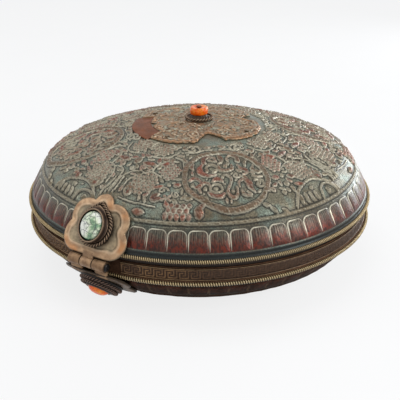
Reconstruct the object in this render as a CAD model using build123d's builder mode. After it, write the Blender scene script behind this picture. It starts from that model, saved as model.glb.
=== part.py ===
"""A lens-shaped copper box: two chased domes joined by a pinned hinge, with a draw-pin catch opposite.

Millimetres, +Z up. The origin is the centre of the flat on which the base stands.
The hinge is on the -Y side and the catch on the +Y side.
"""
import os
from math import acos, asin, cos, degrees, radians, sin, sqrt, tan

from build123d import *

os.makedirs("parts", exist_ok=True)

# Rim, where the lid meets the base
rim_radius = 120.0  # to the centre of the milled wires
wire_radius = 1.05
rim_spacing = 14.4  # from the base's milled wire up to the lid's
sheet = 1.2  # copper sheet of the shells
lid_rim_wall = 2.05  # the lid's edge is folded double
lid_rim_drop = 1.3  # edge of the lid below the centre of its wire
fit_clearance = 0.4  # lid over the base's inner collar
collar_thickness = 1.2
collar_rise = 1.9  # collar above the centre of the lid's wire
collar_depth = 12.0  # collar below the centre of the lid's wire
seat_gap = 0.1  # rim flange over the collar
flange_thickness = 1.2
flange_width = 3.0
base_upright = 1.0  # thickness of the base's upright rim
ledge_drop = 5.1  # top of that rim below the centre of the lid's wire
band_thickness = 1.1
band_gap = 0.05  # band round its rim
band_height = 7.5
band_top_gap = 0.3  # band below the top of the rim
band_notch = 36.0  # gap in the band at the hinge and at the catch

# Domes: a straight skirt at the rim, a tight shoulder and a wide crown
lid_skirt_foot = 3.6
lid_skirt_inset = 0.65
lid_skirt_slope = 61.0
lid_skirt_length = 16.2
lid_shoulder_radius = 27.2
lid_crown_slope = 20.05
cove_depth = 0.1
base_skirt_foot = 1.25
base_skirt_slope = 52.0
base_skirt_length = 13.9
base_shoulder_radius = 26.45
base_crown_slope = 14.1
foot_radius = 36.0

# Plaque on the crown: four lobes with a notch between each two
plaque_thickness = 1.2
plaque_turn = -1.8  # the ornament stands this many degrees off the hinge
lobe_count = 4
lobe_radius = 45.5
lobe_end_radius = 41.3
lobe_half_angle = 32.4
notch_radius = 29.5
flank_radius = 34.6
flank_angle = 36.5
patch_thickness = 0.8
patch_inner_radius = 33.6
patch_outer_radius = 47.3
patch_middle = -134.0  # degrees about the axis, before the turn
patch_span = 62.0
plaque_rivet_radius = 0.9
plaque_rivet_head = 1.6
plaque_rivet_height = 0.7
plaque_rivet_circle = 38.5
plaque_rivet_count = 4

# Main forms of the lid's chasing, drawn from above: medallions in a field of vines, and gadroons below
relief_height = 0.6
relief_root = 0.4
relief_line = 1.5  # width of a chased line
medallion_circle = 80.0
medallion_rings = (26.4, 23.6)
medallion_scrolls = (  # across, outward, radius, start and sweep in degrees
    (-6.2, -16.8, 3.8, -10, 200),
    (7.6, -16.6, 3.6, -10, 200),
    (-8.8, -7.0, 5.0, 110, 210),
    (2.0, -9.4, 4.4, 180, 180),
    (11.8, -5.6, 3.6, -100, 200),
    (-19.4, 2.4, 3.6, 0, 200),
    (-14.6, 8.0, 4.2, 0, 200),
    (-7.6, 10.6, 4.6, 20, 250),
    (1.0, 13.2, 4.2, 170, 230),
    (11.0, 8.8, 4.4, -70, 250),
    (18.4, 7.8, 3.6, -120, 250),
)
vine_bunches = (  # degrees from the medallion, radius on the lid, radius of the bunch
    (34.6, 53.4, 6.4),
    (25.4, 74.8, 6.2),
    (33.4, 89.5, 7.0),
)
vine_gap = 1.6  # from a bunch to the vine round it
vine_start = -150  # the vine's ends, in degrees from the way to the medallion
vine_sweep = 210
lotus_angle = 32.0
lotus_circle = 108.0
lotus_radius = 9.6
stem_angle = 43.8
stem_inner_radius = 84.0
stem_outer_radius = 103.0
ring_line_radius = 109.4
ring_line_width = 1.0
relief_inner_radius = 49.0
leaf_margin = 2.0  # plain ground left round a leaf
gadroon_count = 60
gadroon_top = 1.4  # down the skirt from its upper edge
gadroon_length = 12.8
gadroon_width = 9.4
gadroon_arch = 3.4  # height of the rounded top
gadroon_gap = 16.0  # degrees without gadroons, each side of a leaf's middle

# Finial
finial_ring_radius = 9.0
finial_ring_wire = 1.0
finial_cup_foot_radius = 7.8
finial_cup_top_radius = 5.4
finial_cup_height = 2.4
coral_bead_radius = 6.6
coral_bead_height = 5.8
coral_bead_waist = 5.6
finial_pin_radius = 1.0
finial_pin_head_radius = 1.8
finial_pin_head_height = 0.6
finial_washer_radius = 5.0
finial_washer_thickness = 1.0
hole_clearance = 0.05

# Hinge and catch: three knuckles on a pin, with a cloud-shaped leaf above and below
knuckle_radius = 3.4
knuckle_length = 9.0
knuckle_side_gap = 0.15
knuckle_wire_gap = 0.05  # knuckles outside the milled wires
hinge_drop = 7.0  # pin below the centre of the lid's wire
pin_radius = 1.5
pin_clearance = 0.05
pin_head_radius = 2.5
pin_head_height = 1.0
leaf_thickness = 1.4
leaf_gap = 0.1  # leaf off its dome
upper_leaf_slope = 57.0
upper_leaf_start = 1.0  # leaf's zero line below the centre of the lid's wire
lower_leaf_slope = 45.0
neck_width = 7.8
neck_overlap = 2.0  # neck into its leaf
rivet_radius = 1.2
rivet_head_radius = 2.6
rivet_head_height = 1.1
rivet_spread = 10.0
rivet_pitch = 8.0
rivet_reach = 12.0  # longer than leaf and shell together
pin_end_gap = 0.3  # catch's pin past the knuckles, and its tip off the lid's knuckle when drawn
catch_knob_radius = 2.8

# Outline of a leaf: two lobes on each side and a pointed top, as centres and radii from its zero line
leaf_foot = -1.2
lower_lobe = (12.6, 9.3)
lower_lobe_radius = 10.5
upper_lobe = (10.0, 21.0)
upper_lobe_radius = 11.1
lobe_notch = (20.2, 16.4)
top_notch = (6.8, 31.6)
top_shoulder = (4.6, 35.0)
leaf_tip = 36.9

# Settings for the stones, centred this far up each leaf
setting_centre = 15.8
ring_wire = 2.2
teardrop_radius = 12.4
teardrop_tip = 16.1
terrace_height = 2.6
turquoise_width = 14.4
turquoise_length = 16.6
turquoise_height = 5.8
collar_wall = 2.2
collar_wall_top = 1.2
collar_height = 3.0
coral_width = 13.5
coral_height = 6.2
coral_ring_radius = 14.0
coral_second_ring_radius = 12.4
stone_pocket = 0.6  # depth of a stone in its setting
setting_root = 1.3  # let into the leaf's curve
teardrop_round = 1.6
cabochon_shape = ((0.0, 0.96), (0.35, 0.97), (0.7, 0.78), (0.92, 0.45), (1.0, 0.14))  # heights, widths


class Dome:
    """A dome's profile above its rim, given as radius and height. Lift is the distance outside it."""

    def __init__(self, foot_radius, foot_height, skirt_slope, skirt_length, shoulder_radius, crown_slope):
        self.foot = (foot_radius, foot_height)
        self.skirt_slope = skirt_slope
        self.shoulder_radius = shoulder_radius
        self.crown_slope = crown_slope
        slope = radians(skirt_slope)
        skirt_top = (foot_radius - skirt_length * cos(slope), foot_height + skirt_length * sin(slope))
        self.shoulder_centre = (
            skirt_top[0] - shoulder_radius * sin(slope),
            skirt_top[1] - shoulder_radius * cos(slope),
        )
        crown_edge = self.shoulder_point(crown_slope)
        self.crown_radius = crown_edge[0] / sin(radians(crown_slope))
        self.crown_centre = crown_edge[1] - self.crown_radius * cos(radians(crown_slope))

    def shoulder_point(self, slope, lift=0.0):
        reach = self.shoulder_radius + lift
        return (
            self.shoulder_centre[0] + reach * sin(radians(slope)),
            self.shoulder_centre[1] + reach * cos(radians(slope)),
        )

    def crown_point(self, slope, lift=0.0):
        reach = self.crown_radius + lift
        return (reach * sin(radians(slope)), self.crown_centre + reach * cos(radians(slope)))

    def crown_height(self, radius, lift=0.0):
        return self.crown_centre + sqrt((self.crown_radius + lift) ** 2 - radius**2)

    def skirt_point(self, radius, lift=0.0):
        top = self.shoulder_point(self.skirt_slope, lift)
        return (radius, top[1] - (radius - top[0]) * tan(radians(self.skirt_slope)))

    def middle_slope(self):
        return (self.skirt_slope + self.crown_slope) / 2


lid_wall_radius = rim_radius - wire_radius
lid_inner_radius = lid_wall_radius - lid_rim_wall
collar_outer_radius = lid_inner_radius - fit_clearance
base_upright_radius = collar_outer_radius + base_upright
band_inner_radius = base_upright_radius + band_gap
band_radius = band_inner_radius + band_thickness

lid_dome = Dome(
    lid_wall_radius - lid_skirt_inset,
    lid_skirt_foot,
    lid_skirt_slope,
    lid_skirt_length,
    lid_shoulder_radius,
    lid_crown_slope,
)
base_dome = Dome(
    lid_wall_radius,
    base_skirt_foot,
    base_skirt_slope,
    base_skirt_length,
    base_shoulder_radius,
    base_crown_slope,
)

base_wire_z = base_dome.crown_height(foot_radius)
lid_wire_z = base_wire_z + rim_spacing
ledge_z = lid_wire_z - ledge_drop
collar_top_z = lid_wire_z + collar_rise


def above(point):
    """A point of the lid's profile, in the part's own heights."""
    return (point[0], lid_wire_z + point[1])


def below(point):
    """A point of the base's profile, which is upside down."""
    return (point[0], base_wire_z - point[1])


def turned(part):
    """The same piece on the other side of the box."""
    with BuildPart() as copy:
        add(part.part, rotation=(0, 0, 180))
    return copy


# The hinge's pin line
pin_y = -(rim_radius + wire_radius + knuckle_wire_gap + knuckle_radius)
pin_z = lid_wire_z - hinge_drop
knuckle_half = knuckle_length / 2
hinge_half = knuckle_half + knuckle_length

# Faces of the leaves, with X along the pin and Y away from it, up the lid or down the base
leaf_lift = leaf_gap + leaf_thickness
upper_tangent = above(lid_dome.shoulder_point(upper_leaf_slope, leaf_lift))
upper_run = (upper_tangent[1] - lid_wire_z + upper_leaf_start) / sin(radians(upper_leaf_slope))
upper_zero = (upper_tangent[0] + upper_run * cos(radians(upper_leaf_slope)), lid_wire_z - upper_leaf_start)
upper_plane = Plane(
    origin=(0, -upper_zero[0], upper_zero[1]),
    x_dir=(1, 0, 0),
    z_dir=(0, -sin(radians(upper_leaf_slope)), cos(radians(upper_leaf_slope))),
)
lower_tangent = below(base_dome.shoulder_point(lower_leaf_slope, leaf_lift))
lower_run = (base_wire_z - lower_tangent[1]) / sin(radians(lower_leaf_slope))
lower_zero = (lower_tangent[0] + lower_run * cos(radians(lower_leaf_slope)), base_wire_z)
lower_plane = Plane(
    origin=(0, -lower_zero[0], lower_zero[1]),
    x_dir=(-1, 0, 0),
    z_dir=(0, -sin(radians(lower_leaf_slope)), -cos(radians(lower_leaf_slope))),
)


def on_circle(centre, radius, angle):
    return (centre[0] + radius * cos(radians(angle)), centre[1] + radius * sin(radians(angle)))


def polar(radius, angle):
    return on_circle((0, 0), radius, angle)


def leaf_outline(plane, margin=0.0):
    """A leaf's outline, like a cloud: half of it is drawn and mirrored. A margin widens it all round."""
    with BuildSketch(plane) as outline:
        with BuildLine():
            Line((0, leaf_foot), (lower_lobe[0], leaf_foot))
            lower_side = on_circle(lower_lobe, lower_lobe_radius, -20)
            ThreePointArc((lower_lobe[0], leaf_foot), lower_side, lobe_notch)
            ThreePointArc(lobe_notch, on_circle(upper_lobe, upper_lobe_radius, 40), top_notch)
            ThreePointArc(top_notch, top_shoulder, (0, leaf_tip))
            mirror(about=Plane.YZ)
        make_face()
        if margin:
            offset(amount=margin)
    return outline.sketch


def leaf_band(dome, place, slope, zero, down):
    """Section of the sheet that a leaf is cut from: straight at its foot, then bent over the shoulder."""
    foot = (zero[0] - leaf_foot * cos(radians(slope)), zero[1] + down * leaf_foot * sin(radians(slope)))
    bend = (slope, dome.middle_slope(), dome.crown_slope)
    back = [place(dome.shoulder_point(angle, leaf_gap)) for angle in bend]
    front = [place(dome.shoulder_point(angle, leaf_lift)) for angle in bend]
    foot_back = (foot[0] + back[0][0] - front[0][0], foot[1] + back[0][1] - front[0][1])
    with BuildSketch(Plane.XZ) as section:
        with BuildLine():
            Line(foot_back, back[0])
            ThreePointArc(*back)
            Line(back[2], front[2])
            ThreePointArc(front[2], front[1], front[0])
            Polyline(front[0], foot, foot_back)
        make_face()
    return section.sketch


def neck_section(zero, slope, down, x=0.0):
    """Section of the strip that runs from inside a leaf's foot to the pin."""
    top = leaf_foot + neck_overlap
    front = (zero[0] - top * cos(radians(slope)), zero[1] + down * top * sin(radians(slope)))
    back = (
        front[0] - leaf_thickness * sin(radians(slope)),
        front[1] - down * leaf_thickness * cos(radians(slope)),
    )
    half = leaf_thickness / 2
    with BuildSketch(Plane.YZ.offset(x)) as section:
        with BuildLine():
            Polyline(
                (-front[0], front[1]),
                (-back[0], back[1]),
                (pin_y + half, pin_z),
                (pin_y - half, pin_z),
                close=True,
            )
        make_face()
    return section.sketch


def knuckle_disc(radius, x=0.0):
    with BuildSketch(Plane.YZ.offset(x)) as disc:
        with Locations((pin_y, pin_z)):
            Circle(radius)
    return disc.sketch


def rivet_holes(plane):
    with BuildSketch(plane) as holes:
        with Locations((0, setting_centre)):
            with GridLocations(rivet_spread, rivet_pitch, 2, 2):
                Circle(rivet_radius)
    return holes.sketch


# Cutters for the leaves' rivets, deep enough for leaf and shell
with BuildPart() as upper_rivet_cutter:
    extrude(rivet_holes(upper_plane), amount=-rivet_reach)

with BuildPart() as lower_rivet_cutter:
    extrude(rivet_holes(lower_plane), amount=-rivet_reach)

# Chasing on the lid

lobe_pitch = 360 / lobe_count


def local_point(middle, radius, across, outward):
    """A point given across and outward from a place on the lid."""
    x, y = polar(radius + outward, middle)
    return (x - across * sin(radians(middle)), y + across * cos(radians(middle)))


def chased_arc(centre, radius, start, sweep):
    """A line of the chasing: part of a ring."""
    inner, outer = radius - relief_line / 2, radius + relief_line / 2
    middle, end = start + sweep / 2, start + sweep
    with BuildSketch() as arc:
        with BuildLine():
            ThreePointArc(*[on_circle(centre, outer, angle) for angle in (start, middle, end)])
            Line(on_circle(centre, outer, end), on_circle(centre, inner, end))
            ThreePointArc(*[on_circle(centre, inner, angle) for angle in (end, middle, start)])
            Line(on_circle(centre, inner, start), on_circle(centre, outer, start))
        make_face()
    return arc.sketch


def chased_disc(centre, radius, hollow=0.0):
    with BuildSketch() as disc:
        with Locations(centre):
            Circle(radius)
            if hollow:
                Circle(hollow, mode=Mode.SUBTRACT)
    return disc.sketch


def medallion(middle):
    centre = polar(medallion_circle, middle)
    rings = [chased_disc(centre, ring + relief_line / 2, ring - relief_line / 2) for ring in medallion_rings]
    scrolls = [
        chased_arc(local_point(middle, medallion_circle, across, outward), radius, start + middle - 90, sweep)
        for across, outward, radius, start, sweep in medallion_scrolls
    ]
    return rings + scrolls


def vines(middle, side):
    """Bunches with a vine round each, a lotus arch and a stem, on one side of a medallion."""
    forms = []
    for angle, radius, size in vine_bunches:
        centre = polar(radius, middle + side * angle)
        toward = middle + side * (angle - 90)
        sweep = side * vine_sweep
        forms.append(chased_disc(centre, size))
        forms.append(chased_arc(centre, size + vine_gap + relief_line, toward + side * vine_start, sweep))
    lotus = polar(lotus_circle, middle + side * lotus_angle)
    forms.append(chased_arc(lotus, lotus_radius, middle + side * lotus_angle + 90, 180))
    with BuildSketch() as stem:
        with BuildLine():
            Line(
                polar(stem_inner_radius, middle + side * stem_angle),
                polar(stem_outer_radius, middle + side * stem_angle),
            )
        trace(line_width=relief_line)
    return forms + [stem.sketch]


chased_forms = [
    chased_disc((0, 0), ring_line_radius + ring_line_width / 2, ring_line_radius - ring_line_width / 2)
]
for lobe in range(lobe_count):
    medallion_middle = plaque_turn + lobe_pitch * (lobe + 1 / 2)
    chased_forms += medallion(medallion_middle)
    for side in (1, -1):
        chased_forms += vines(medallion_middle, side)

with BuildSketch(Plane.XY.offset(lid_wire_z)) as chasing:
    add(chased_forms)

chased_inner = degrees(asin(relief_inner_radius / lid_dome.crown_radius))
chased_crown = (chased_inner, (chased_inner + lid_crown_slope) / 2, lid_crown_slope)
lid_shoulder = (lid_crown_slope, lid_dome.middle_slope(), lid_skirt_slope)
with BuildPart() as chased_layer:
    with BuildSketch(Plane.XZ):
        with BuildLine():
            Line(
                above(lid_dome.crown_point(chased_inner, -relief_root)),
                above(lid_dome.crown_point(chased_inner, relief_height)),
            )
            ThreePointArc(*[above(lid_dome.crown_point(slope, relief_height)) for slope in chased_crown])
            ThreePointArc(*[above(lid_dome.shoulder_point(slope, relief_height)) for slope in lid_shoulder])
            Line(
                above(lid_dome.shoulder_point(lid_skirt_slope, relief_height)),
                above(lid_dome.shoulder_point(lid_skirt_slope, -relief_root)),
            )
            ThreePointArc(
                *[above(lid_dome.shoulder_point(slope, -relief_root)) for slope in reversed(lid_shoulder)]
            )
            ThreePointArc(
                *[above(lid_dome.crown_point(slope, -relief_root)) for slope in reversed(chased_crown)]
            )
        make_face()
    revolve(axis=Axis.Z)

# One gadroon lies flat on the skirt, with its X round the lid and its Y up the skirt
skirt_top = above(lid_dome.shoulder_point(lid_skirt_slope))
gadroon_plane = Plane(
    origin=(skirt_top[0], 0, skirt_top[1]),
    x_dir=(0, 1, 0),
    z_dir=(sin(radians(lid_skirt_slope)), 0, cos(radians(lid_skirt_slope))),
)
arch_foot = -gadroon_top - gadroon_arch
gadroon_foot = -gadroon_top - gadroon_length
with BuildPart() as gadroon:
    with BuildSketch(gadroon_plane.offset(-relief_root)):
        with BuildLine():
            ThreePointArc((-gadroon_width / 2, arch_foot), (0, -gadroon_top), (gadroon_width / 2, arch_foot))
            Polyline(
                (gadroon_width / 2, arch_foot),
                (gadroon_width / 2, gadroon_foot),
                (-gadroon_width / 2, gadroon_foot),
                (-gadroon_width / 2, arch_foot),
            )
        make_face()
    extrude(amount=relief_root + relief_height)

gadroon_pitch = 360 / gadroon_count
gadroon_angles = [plaque_turn + gadroon_pitch * (step + 1 / 2) for step in range(gadroon_count)]
leaf_reach = sin(radians(gadroon_gap))
clear_of_leaves = [angle for angle in gadroon_angles if abs(cos(radians(angle))) > leaf_reach]
with BuildPart() as gadroons:
    with Locations(*[Location((0, 0, 0), (0, 0, angle)) for angle in clear_of_leaves]):
        add(gadroon.part)

with BuildPart() as leaf_zone:
    extrude(leaf_outline(upper_plane, leaf_margin), amount=rivet_reach, both=True)

with BuildPart() as leaf_zones:
    add(leaf_zone.part)
    add(leaf_zone.part, rotation=(0, 0, 180))

with BuildPart() as lid_chasing:
    extrude(chasing.sketch, amount=2 * lid_dome.crown_height(0))
    add(chased_layer.part, mode=Mode.INTERSECT)
    add(leaf_zones.part, mode=Mode.SUBTRACT)
    add(gadroons.part)

# Lid

cove_top = above(lid_dome.skirt_point(lid_dome.foot[0]))
cove_middle = (lid_dome.foot[0] - cove_depth, lid_wire_z + (lid_dome.foot[1] + wire_radius) / 2)
lid_inner_top = lid_dome.shoulder_point(lid_skirt_slope, -sheet)
lid_inner_foot = lid_inner_top[1] - (lid_inner_radius - lid_inner_top[0]) * tan(radians(lid_skirt_slope))
lid_crown = (0, lid_crown_slope / 2, lid_crown_slope)
lid_shoulder_inside = [above(lid_dome.shoulder_point(slope, -sheet)) for slope in reversed(lid_shoulder)]
lid_crown_inside = [above(lid_dome.crown_point(slope, -sheet)) for slope in reversed(lid_crown)]

with BuildPart() as plain_lid:
    with BuildSketch(Plane.XZ):
        with BuildLine():
            Line(above(lid_dome.crown_point(0, -sheet)), above(lid_dome.crown_point(0)))
            ThreePointArc(*[above(lid_dome.crown_point(slope)) for slope in lid_crown])
            ThreePointArc(*[above(lid_dome.shoulder_point(slope)) for slope in lid_shoulder])
            Line(above(lid_dome.shoulder_point(lid_skirt_slope)), cove_top)
            ThreePointArc(cove_top, cove_middle, (lid_wall_radius, lid_wire_z + wire_radius))
            Polyline(
                (lid_wall_radius, lid_wire_z + wire_radius),
                (lid_wall_radius, lid_wire_z - lid_rim_drop),
                (lid_inner_radius, lid_wire_z - lid_rim_drop),
                above((lid_inner_radius, lid_inner_foot)),
                above(lid_inner_top),
            )
            ThreePointArc(*lid_shoulder_inside)
            ThreePointArc(*lid_crown_inside)
        make_face()
    revolve(axis=Axis.Z)
    with BuildSketch(Plane.XY.offset(lid_wire_z)):
        Circle(finial_pin_radius + hole_clearance)
        with PolarLocations(plaque_rivet_circle, plaque_rivet_count, start_angle=plaque_turn):
            Circle(plaque_rivet_radius)
    extrude(until=Until.LAST, mode=Mode.SUBTRACT)
    add(upper_rivet_cutter.part, mode=Mode.SUBTRACT)
    add(upper_rivet_cutter.part, rotation=(0, 0, 180), mode=Mode.SUBTRACT)

with BuildPart() as lid_shell:
    add(plain_lid.part)
    add(lid_chasing.part)

with BuildPart() as lid_rim_flange:
    with BuildSketch(Plane.XY.offset(collar_top_z + seat_gap)):
        Circle(lid_inner_radius)
        Circle(lid_inner_radius - flange_width, mode=Mode.SUBTRACT)
    extrude(amount=flange_thickness)
    add(plain_lid.part, mode=Mode.SUBTRACT)

with BuildPart() as lid_milled_wire:
    with Locations((0, 0, lid_wire_z)):
        Torus(rim_radius, wire_radius)

# Plaque on the crown, and the patch let into one of its notches


def crown_sheet(thickness):
    """Section of a thin cap that lies on the crown."""
    edge = degrees(asin(patch_outer_radius / lid_dome.crown_radius)) + 1
    with BuildSketch(Plane.XZ) as section:
        with BuildLine():
            Line(above(lid_dome.crown_point(0)), above(lid_dome.crown_point(0, thickness)))
            ThreePointArc(*[above(lid_dome.crown_point(slope, thickness)) for slope in (0, edge / 2, edge)])
            Line(above(lid_dome.crown_point(edge, thickness)), above(lid_dome.crown_point(edge)))
            ThreePointArc(*[above(lid_dome.crown_point(slope)) for slope in (edge, edge / 2, 0)])
        make_face()
    return section.sketch


def quatrefoil():
    """The plaque from above: four lobes, with hollow flanks down to each notch."""
    with BuildSketch(Plane.XY.offset(lid_wire_z)) as outline:
        with BuildLine():
            for lobe in range(lobe_count):
                middle = lobe_pitch * lobe + plaque_turn
                next_middle = middle + lobe_pitch
                lobe_end = polar(lobe_end_radius, middle + lobe_half_angle)
                notch = polar(notch_radius, middle + lobe_pitch / 2)
                next_lobe = polar(lobe_end_radius, next_middle - lobe_half_angle)
                lobe_start = polar(lobe_end_radius, middle - lobe_half_angle)
                ThreePointArc(lobe_start, polar(lobe_radius, middle), lobe_end)
                ThreePointArc(lobe_end, polar(flank_radius, middle + flank_angle), notch)
                ThreePointArc(notch, polar(flank_radius, next_middle - flank_angle), next_lobe)
        make_face()
    return outline.sketch


def patch_outline():
    """The patch from above: part of a ring."""
    start, middle, end = [patch_middle + plaque_turn + patch_span * step / 2 for step in (-1, 0, 1)]
    with BuildSketch(Plane.XY.offset(lid_wire_z)) as outline:
        with BuildLine():
            ThreePointArc(*[polar(patch_outer_radius, angle) for angle in (start, middle, end)])
            Line(polar(patch_outer_radius, end), polar(patch_inner_radius, end))
            ThreePointArc(*[polar(patch_inner_radius, angle) for angle in (end, middle, start)])
            Line(polar(patch_inner_radius, start), polar(patch_outer_radius, start))
        make_face()
    return outline.sketch


with BuildPart() as plaque_patch:
    revolve(crown_sheet(patch_thickness), axis=Axis.Z)
    extrude(patch_outline(), amount=2 * lid_dome.crown_height(0), mode=Mode.INTERSECT)

with BuildPart() as patch_cutter:
    extrude(patch_outline(), amount=2 * lid_dome.crown_height(0))

with BuildPart() as top_plaque:
    revolve(crown_sheet(plaque_thickness), axis=Axis.Z)
    extrude(quatrefoil(), amount=2 * lid_dome.crown_height(0), mode=Mode.INTERSECT)
    add(patch_cutter.part, mode=Mode.SUBTRACT)
    with BuildSketch(Plane.XY.offset(lid_wire_z)):
        Circle(finial_pin_radius + hole_clearance)
        with PolarLocations(plaque_rivet_circle, plaque_rivet_count, start_angle=plaque_turn):
            Circle(plaque_rivet_radius)
    extrude(until=Until.LAST, mode=Mode.SUBTRACT)

plaque_rivet_slope = degrees(asin(plaque_rivet_circle / lid_dome.crown_radius))
plaque_rivet_z = lid_wire_z + lid_dome.crown_height(plaque_rivet_circle, plaque_thickness)
with BuildPart() as plaque_rivets:
    with PolarLocations(plaque_rivet_circle, plaque_rivet_count, start_angle=plaque_turn):
        with Locations(Location((0, 0, plaque_rivet_z), (0, plaque_rivet_slope, 0))):
            Cylinder(plaque_rivet_head, plaque_rivet_height, align=(Align.CENTER, Align.CENTER, Align.MIN))
        with Locations((0, 0, plaque_rivet_z + plaque_rivet_height / 2)):
            Cylinder(
                plaque_rivet_radius,
                plaque_thickness + sheet + 2 * plaque_rivet_height,
                align=(Align.CENTER, Align.CENTER, Align.MAX),
            )
    add(top_plaque.part, mode=Mode.SUBTRACT)

# Finial: a roped ring, a cup and a coral bead, on a pin through the crown
crown_top_z = lid_wire_z + lid_dome.crown_height(0)
plaque_top_z = crown_top_z + plaque_thickness
cup_top_z = plaque_top_z + finial_cup_height
bead_top_z = cup_top_z + coral_bead_height
washer_bottom_z = crown_top_z - sheet - finial_washer_thickness
pin_bore = finial_pin_radius + hole_clearance

with BuildPart() as finial_rope_ring:
    with Locations((0, 0, plaque_top_z + finial_ring_wire)):
        Torus(finial_ring_radius, finial_ring_wire)

with BuildPart() as finial_cup:
    with BuildSketch(Plane.XZ):
        Polygon(
            (pin_bore, crown_top_z),
            (finial_cup_foot_radius, crown_top_z),
            (finial_cup_foot_radius, plaque_top_z),
            (finial_cup_top_radius, cup_top_z),
            (pin_bore, cup_top_z),
            align=None,
        )
    revolve(axis=Axis.Z)
    add(top_plaque.part, mode=Mode.SUBTRACT)

with BuildPart() as finial_coral:
    with BuildSketch(Plane.XZ):
        with BuildLine():
            ThreePointArc(
                (coral_bead_waist, cup_top_z),
                (coral_bead_radius, cup_top_z + coral_bead_height / 2),
                (coral_bead_waist, bead_top_z),
            )
            Polyline(
                (coral_bead_waist, bead_top_z),
                (pin_bore, bead_top_z),
                (pin_bore, cup_top_z),
                (coral_bead_waist, cup_top_z),
            )
        make_face()
    revolve(axis=Axis.Z)

with BuildPart() as finial_washer:
    with BuildSketch(Plane.XY.offset(washer_bottom_z)):
        Circle(finial_washer_radius)
        Circle(pin_bore, mode=Mode.SUBTRACT)
    extrude(amount=finial_washer_thickness)
    add(plain_lid.part, mode=Mode.SUBTRACT)

with BuildPart() as finial_pin:
    with BuildSketch(Plane.XY.offset(washer_bottom_z)):
        Circle(finial_pin_radius)
    extrude(amount=bead_top_z - washer_bottom_z)
    for start in (bead_top_z, washer_bottom_z - finial_pin_head_height):
        with BuildSketch(Plane.XY.offset(start)):
            Circle(finial_pin_head_radius)
        extrude(amount=finial_pin_head_height)

# Base

foot_slope = degrees(asin(foot_radius / base_dome.crown_radius))
foot_inner = below(base_dome.crown_point(foot_slope, -sheet))
shelf_z = base_wire_z + wire_radius
base_inner_top = base_dome.shoulder_point(base_skirt_slope, -sheet)
base_inner_width = collar_outer_radius - base_inner_top[0]
base_inner_foot = base_inner_top[1] - base_inner_width * tan(radians(base_skirt_slope))
base_crown = (foot_slope, (foot_slope + base_crown_slope) / 2, base_crown_slope)
base_shoulder = (base_crown_slope, base_dome.middle_slope(), base_skirt_slope)
base_shoulder_inside = [below(base_dome.shoulder_point(slope, -sheet)) for slope in reversed(base_shoulder)]
base_crown_inside = [below(base_dome.crown_point(slope, -sheet)) for slope in reversed(base_crown)]

with BuildPart() as base_shell:
    with BuildSketch(Plane.XZ):
        with BuildLine():
            Polyline(foot_inner, (0, foot_inner[1]), (0, 0), (foot_radius, 0))
            ThreePointArc(*[below(base_dome.crown_point(slope)) for slope in base_crown])
            ThreePointArc(*[below(base_dome.shoulder_point(slope)) for slope in base_shoulder])
            Polyline(
                below(base_dome.shoulder_point(base_skirt_slope)),
                below(base_dome.skirt_point(lid_wall_radius)),
                (lid_wall_radius, shelf_z),
                (base_upright_radius, shelf_z),
                (base_upright_radius, ledge_z),
                (collar_outer_radius, ledge_z),
                below((collar_outer_radius, base_inner_foot)),
                below(base_inner_top),
            )
            ThreePointArc(*base_shoulder_inside)
            ThreePointArc(*base_crown_inside)
        make_face()
    revolve(axis=Axis.Z)
    add(lower_rivet_cutter.part, mode=Mode.SUBTRACT)
    add(lower_rivet_cutter.part, rotation=(0, 0, 180), mode=Mode.SUBTRACT)

with BuildPart() as inner_collar:
    with BuildSketch(Plane.XY.offset(lid_wire_z - collar_depth)):
        Circle(collar_outer_radius)
        Circle(collar_outer_radius - collar_thickness, mode=Mode.SUBTRACT)
    extrude(amount=collar_depth + collar_rise)

with BuildPart() as base_milled_wire:
    with Locations((0, 0, base_wire_z)):
        Torus(rim_radius, wire_radius)

with BuildPart() as meander_band:
    with BuildSketch(Plane.XY.offset(ledge_z - band_top_gap - band_height)):
        Circle(band_radius)
        Circle(band_inner_radius, mode=Mode.SUBTRACT)
        Rectangle(band_notch, 3 * band_radius, mode=Mode.SUBTRACT)
    extrude(amount=band_height)

# Hinge

with BuildPart() as hinge_leaf_upper:
    revolve(leaf_band(lid_dome, above, upper_leaf_slope, upper_zero, 1), axis=Axis.Z)
    extrude(leaf_outline(upper_plane), amount=rivet_reach, both=True, mode=Mode.INTERSECT)
    extrude(neck_section(upper_zero, upper_leaf_slope, 1), amount=neck_width / 2, both=True)
    extrude(knuckle_disc(knuckle_radius), amount=knuckle_half - knuckle_side_gap, both=True)
    extrude(knuckle_disc(pin_radius + pin_clearance), amount=knuckle_half, both=True, mode=Mode.SUBTRACT)
    add(upper_rivet_cutter.part, mode=Mode.SUBTRACT)

with BuildPart() as hinge_leaf_lower:
    revolve(leaf_band(base_dome, below, lower_leaf_slope, lower_zero, -1), axis=Axis.Z)
    extrude(leaf_outline(lower_plane), amount=rivet_reach, both=True, mode=Mode.INTERSECT)
    for start in (knuckle_half + knuckle_side_gap, -hinge_half):
        outer_neck = neck_section(lower_zero, lower_leaf_slope, -1, start)
        extrude(outer_neck, amount=knuckle_length - knuckle_side_gap)
        extrude(knuckle_disc(knuckle_radius, start), amount=knuckle_length - knuckle_side_gap)
    extrude(knuckle_disc(pin_radius + pin_clearance), amount=hinge_half, both=True, mode=Mode.SUBTRACT)
    add(lower_rivet_cutter.part, mode=Mode.SUBTRACT)

with BuildPart() as hinge_pin:
    extrude(knuckle_disc(pin_radius), amount=hinge_half, both=True)
    for start in (hinge_half, -hinge_half - pin_head_height):
        extrude(knuckle_disc(pin_head_radius, start), amount=pin_head_height)


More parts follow.
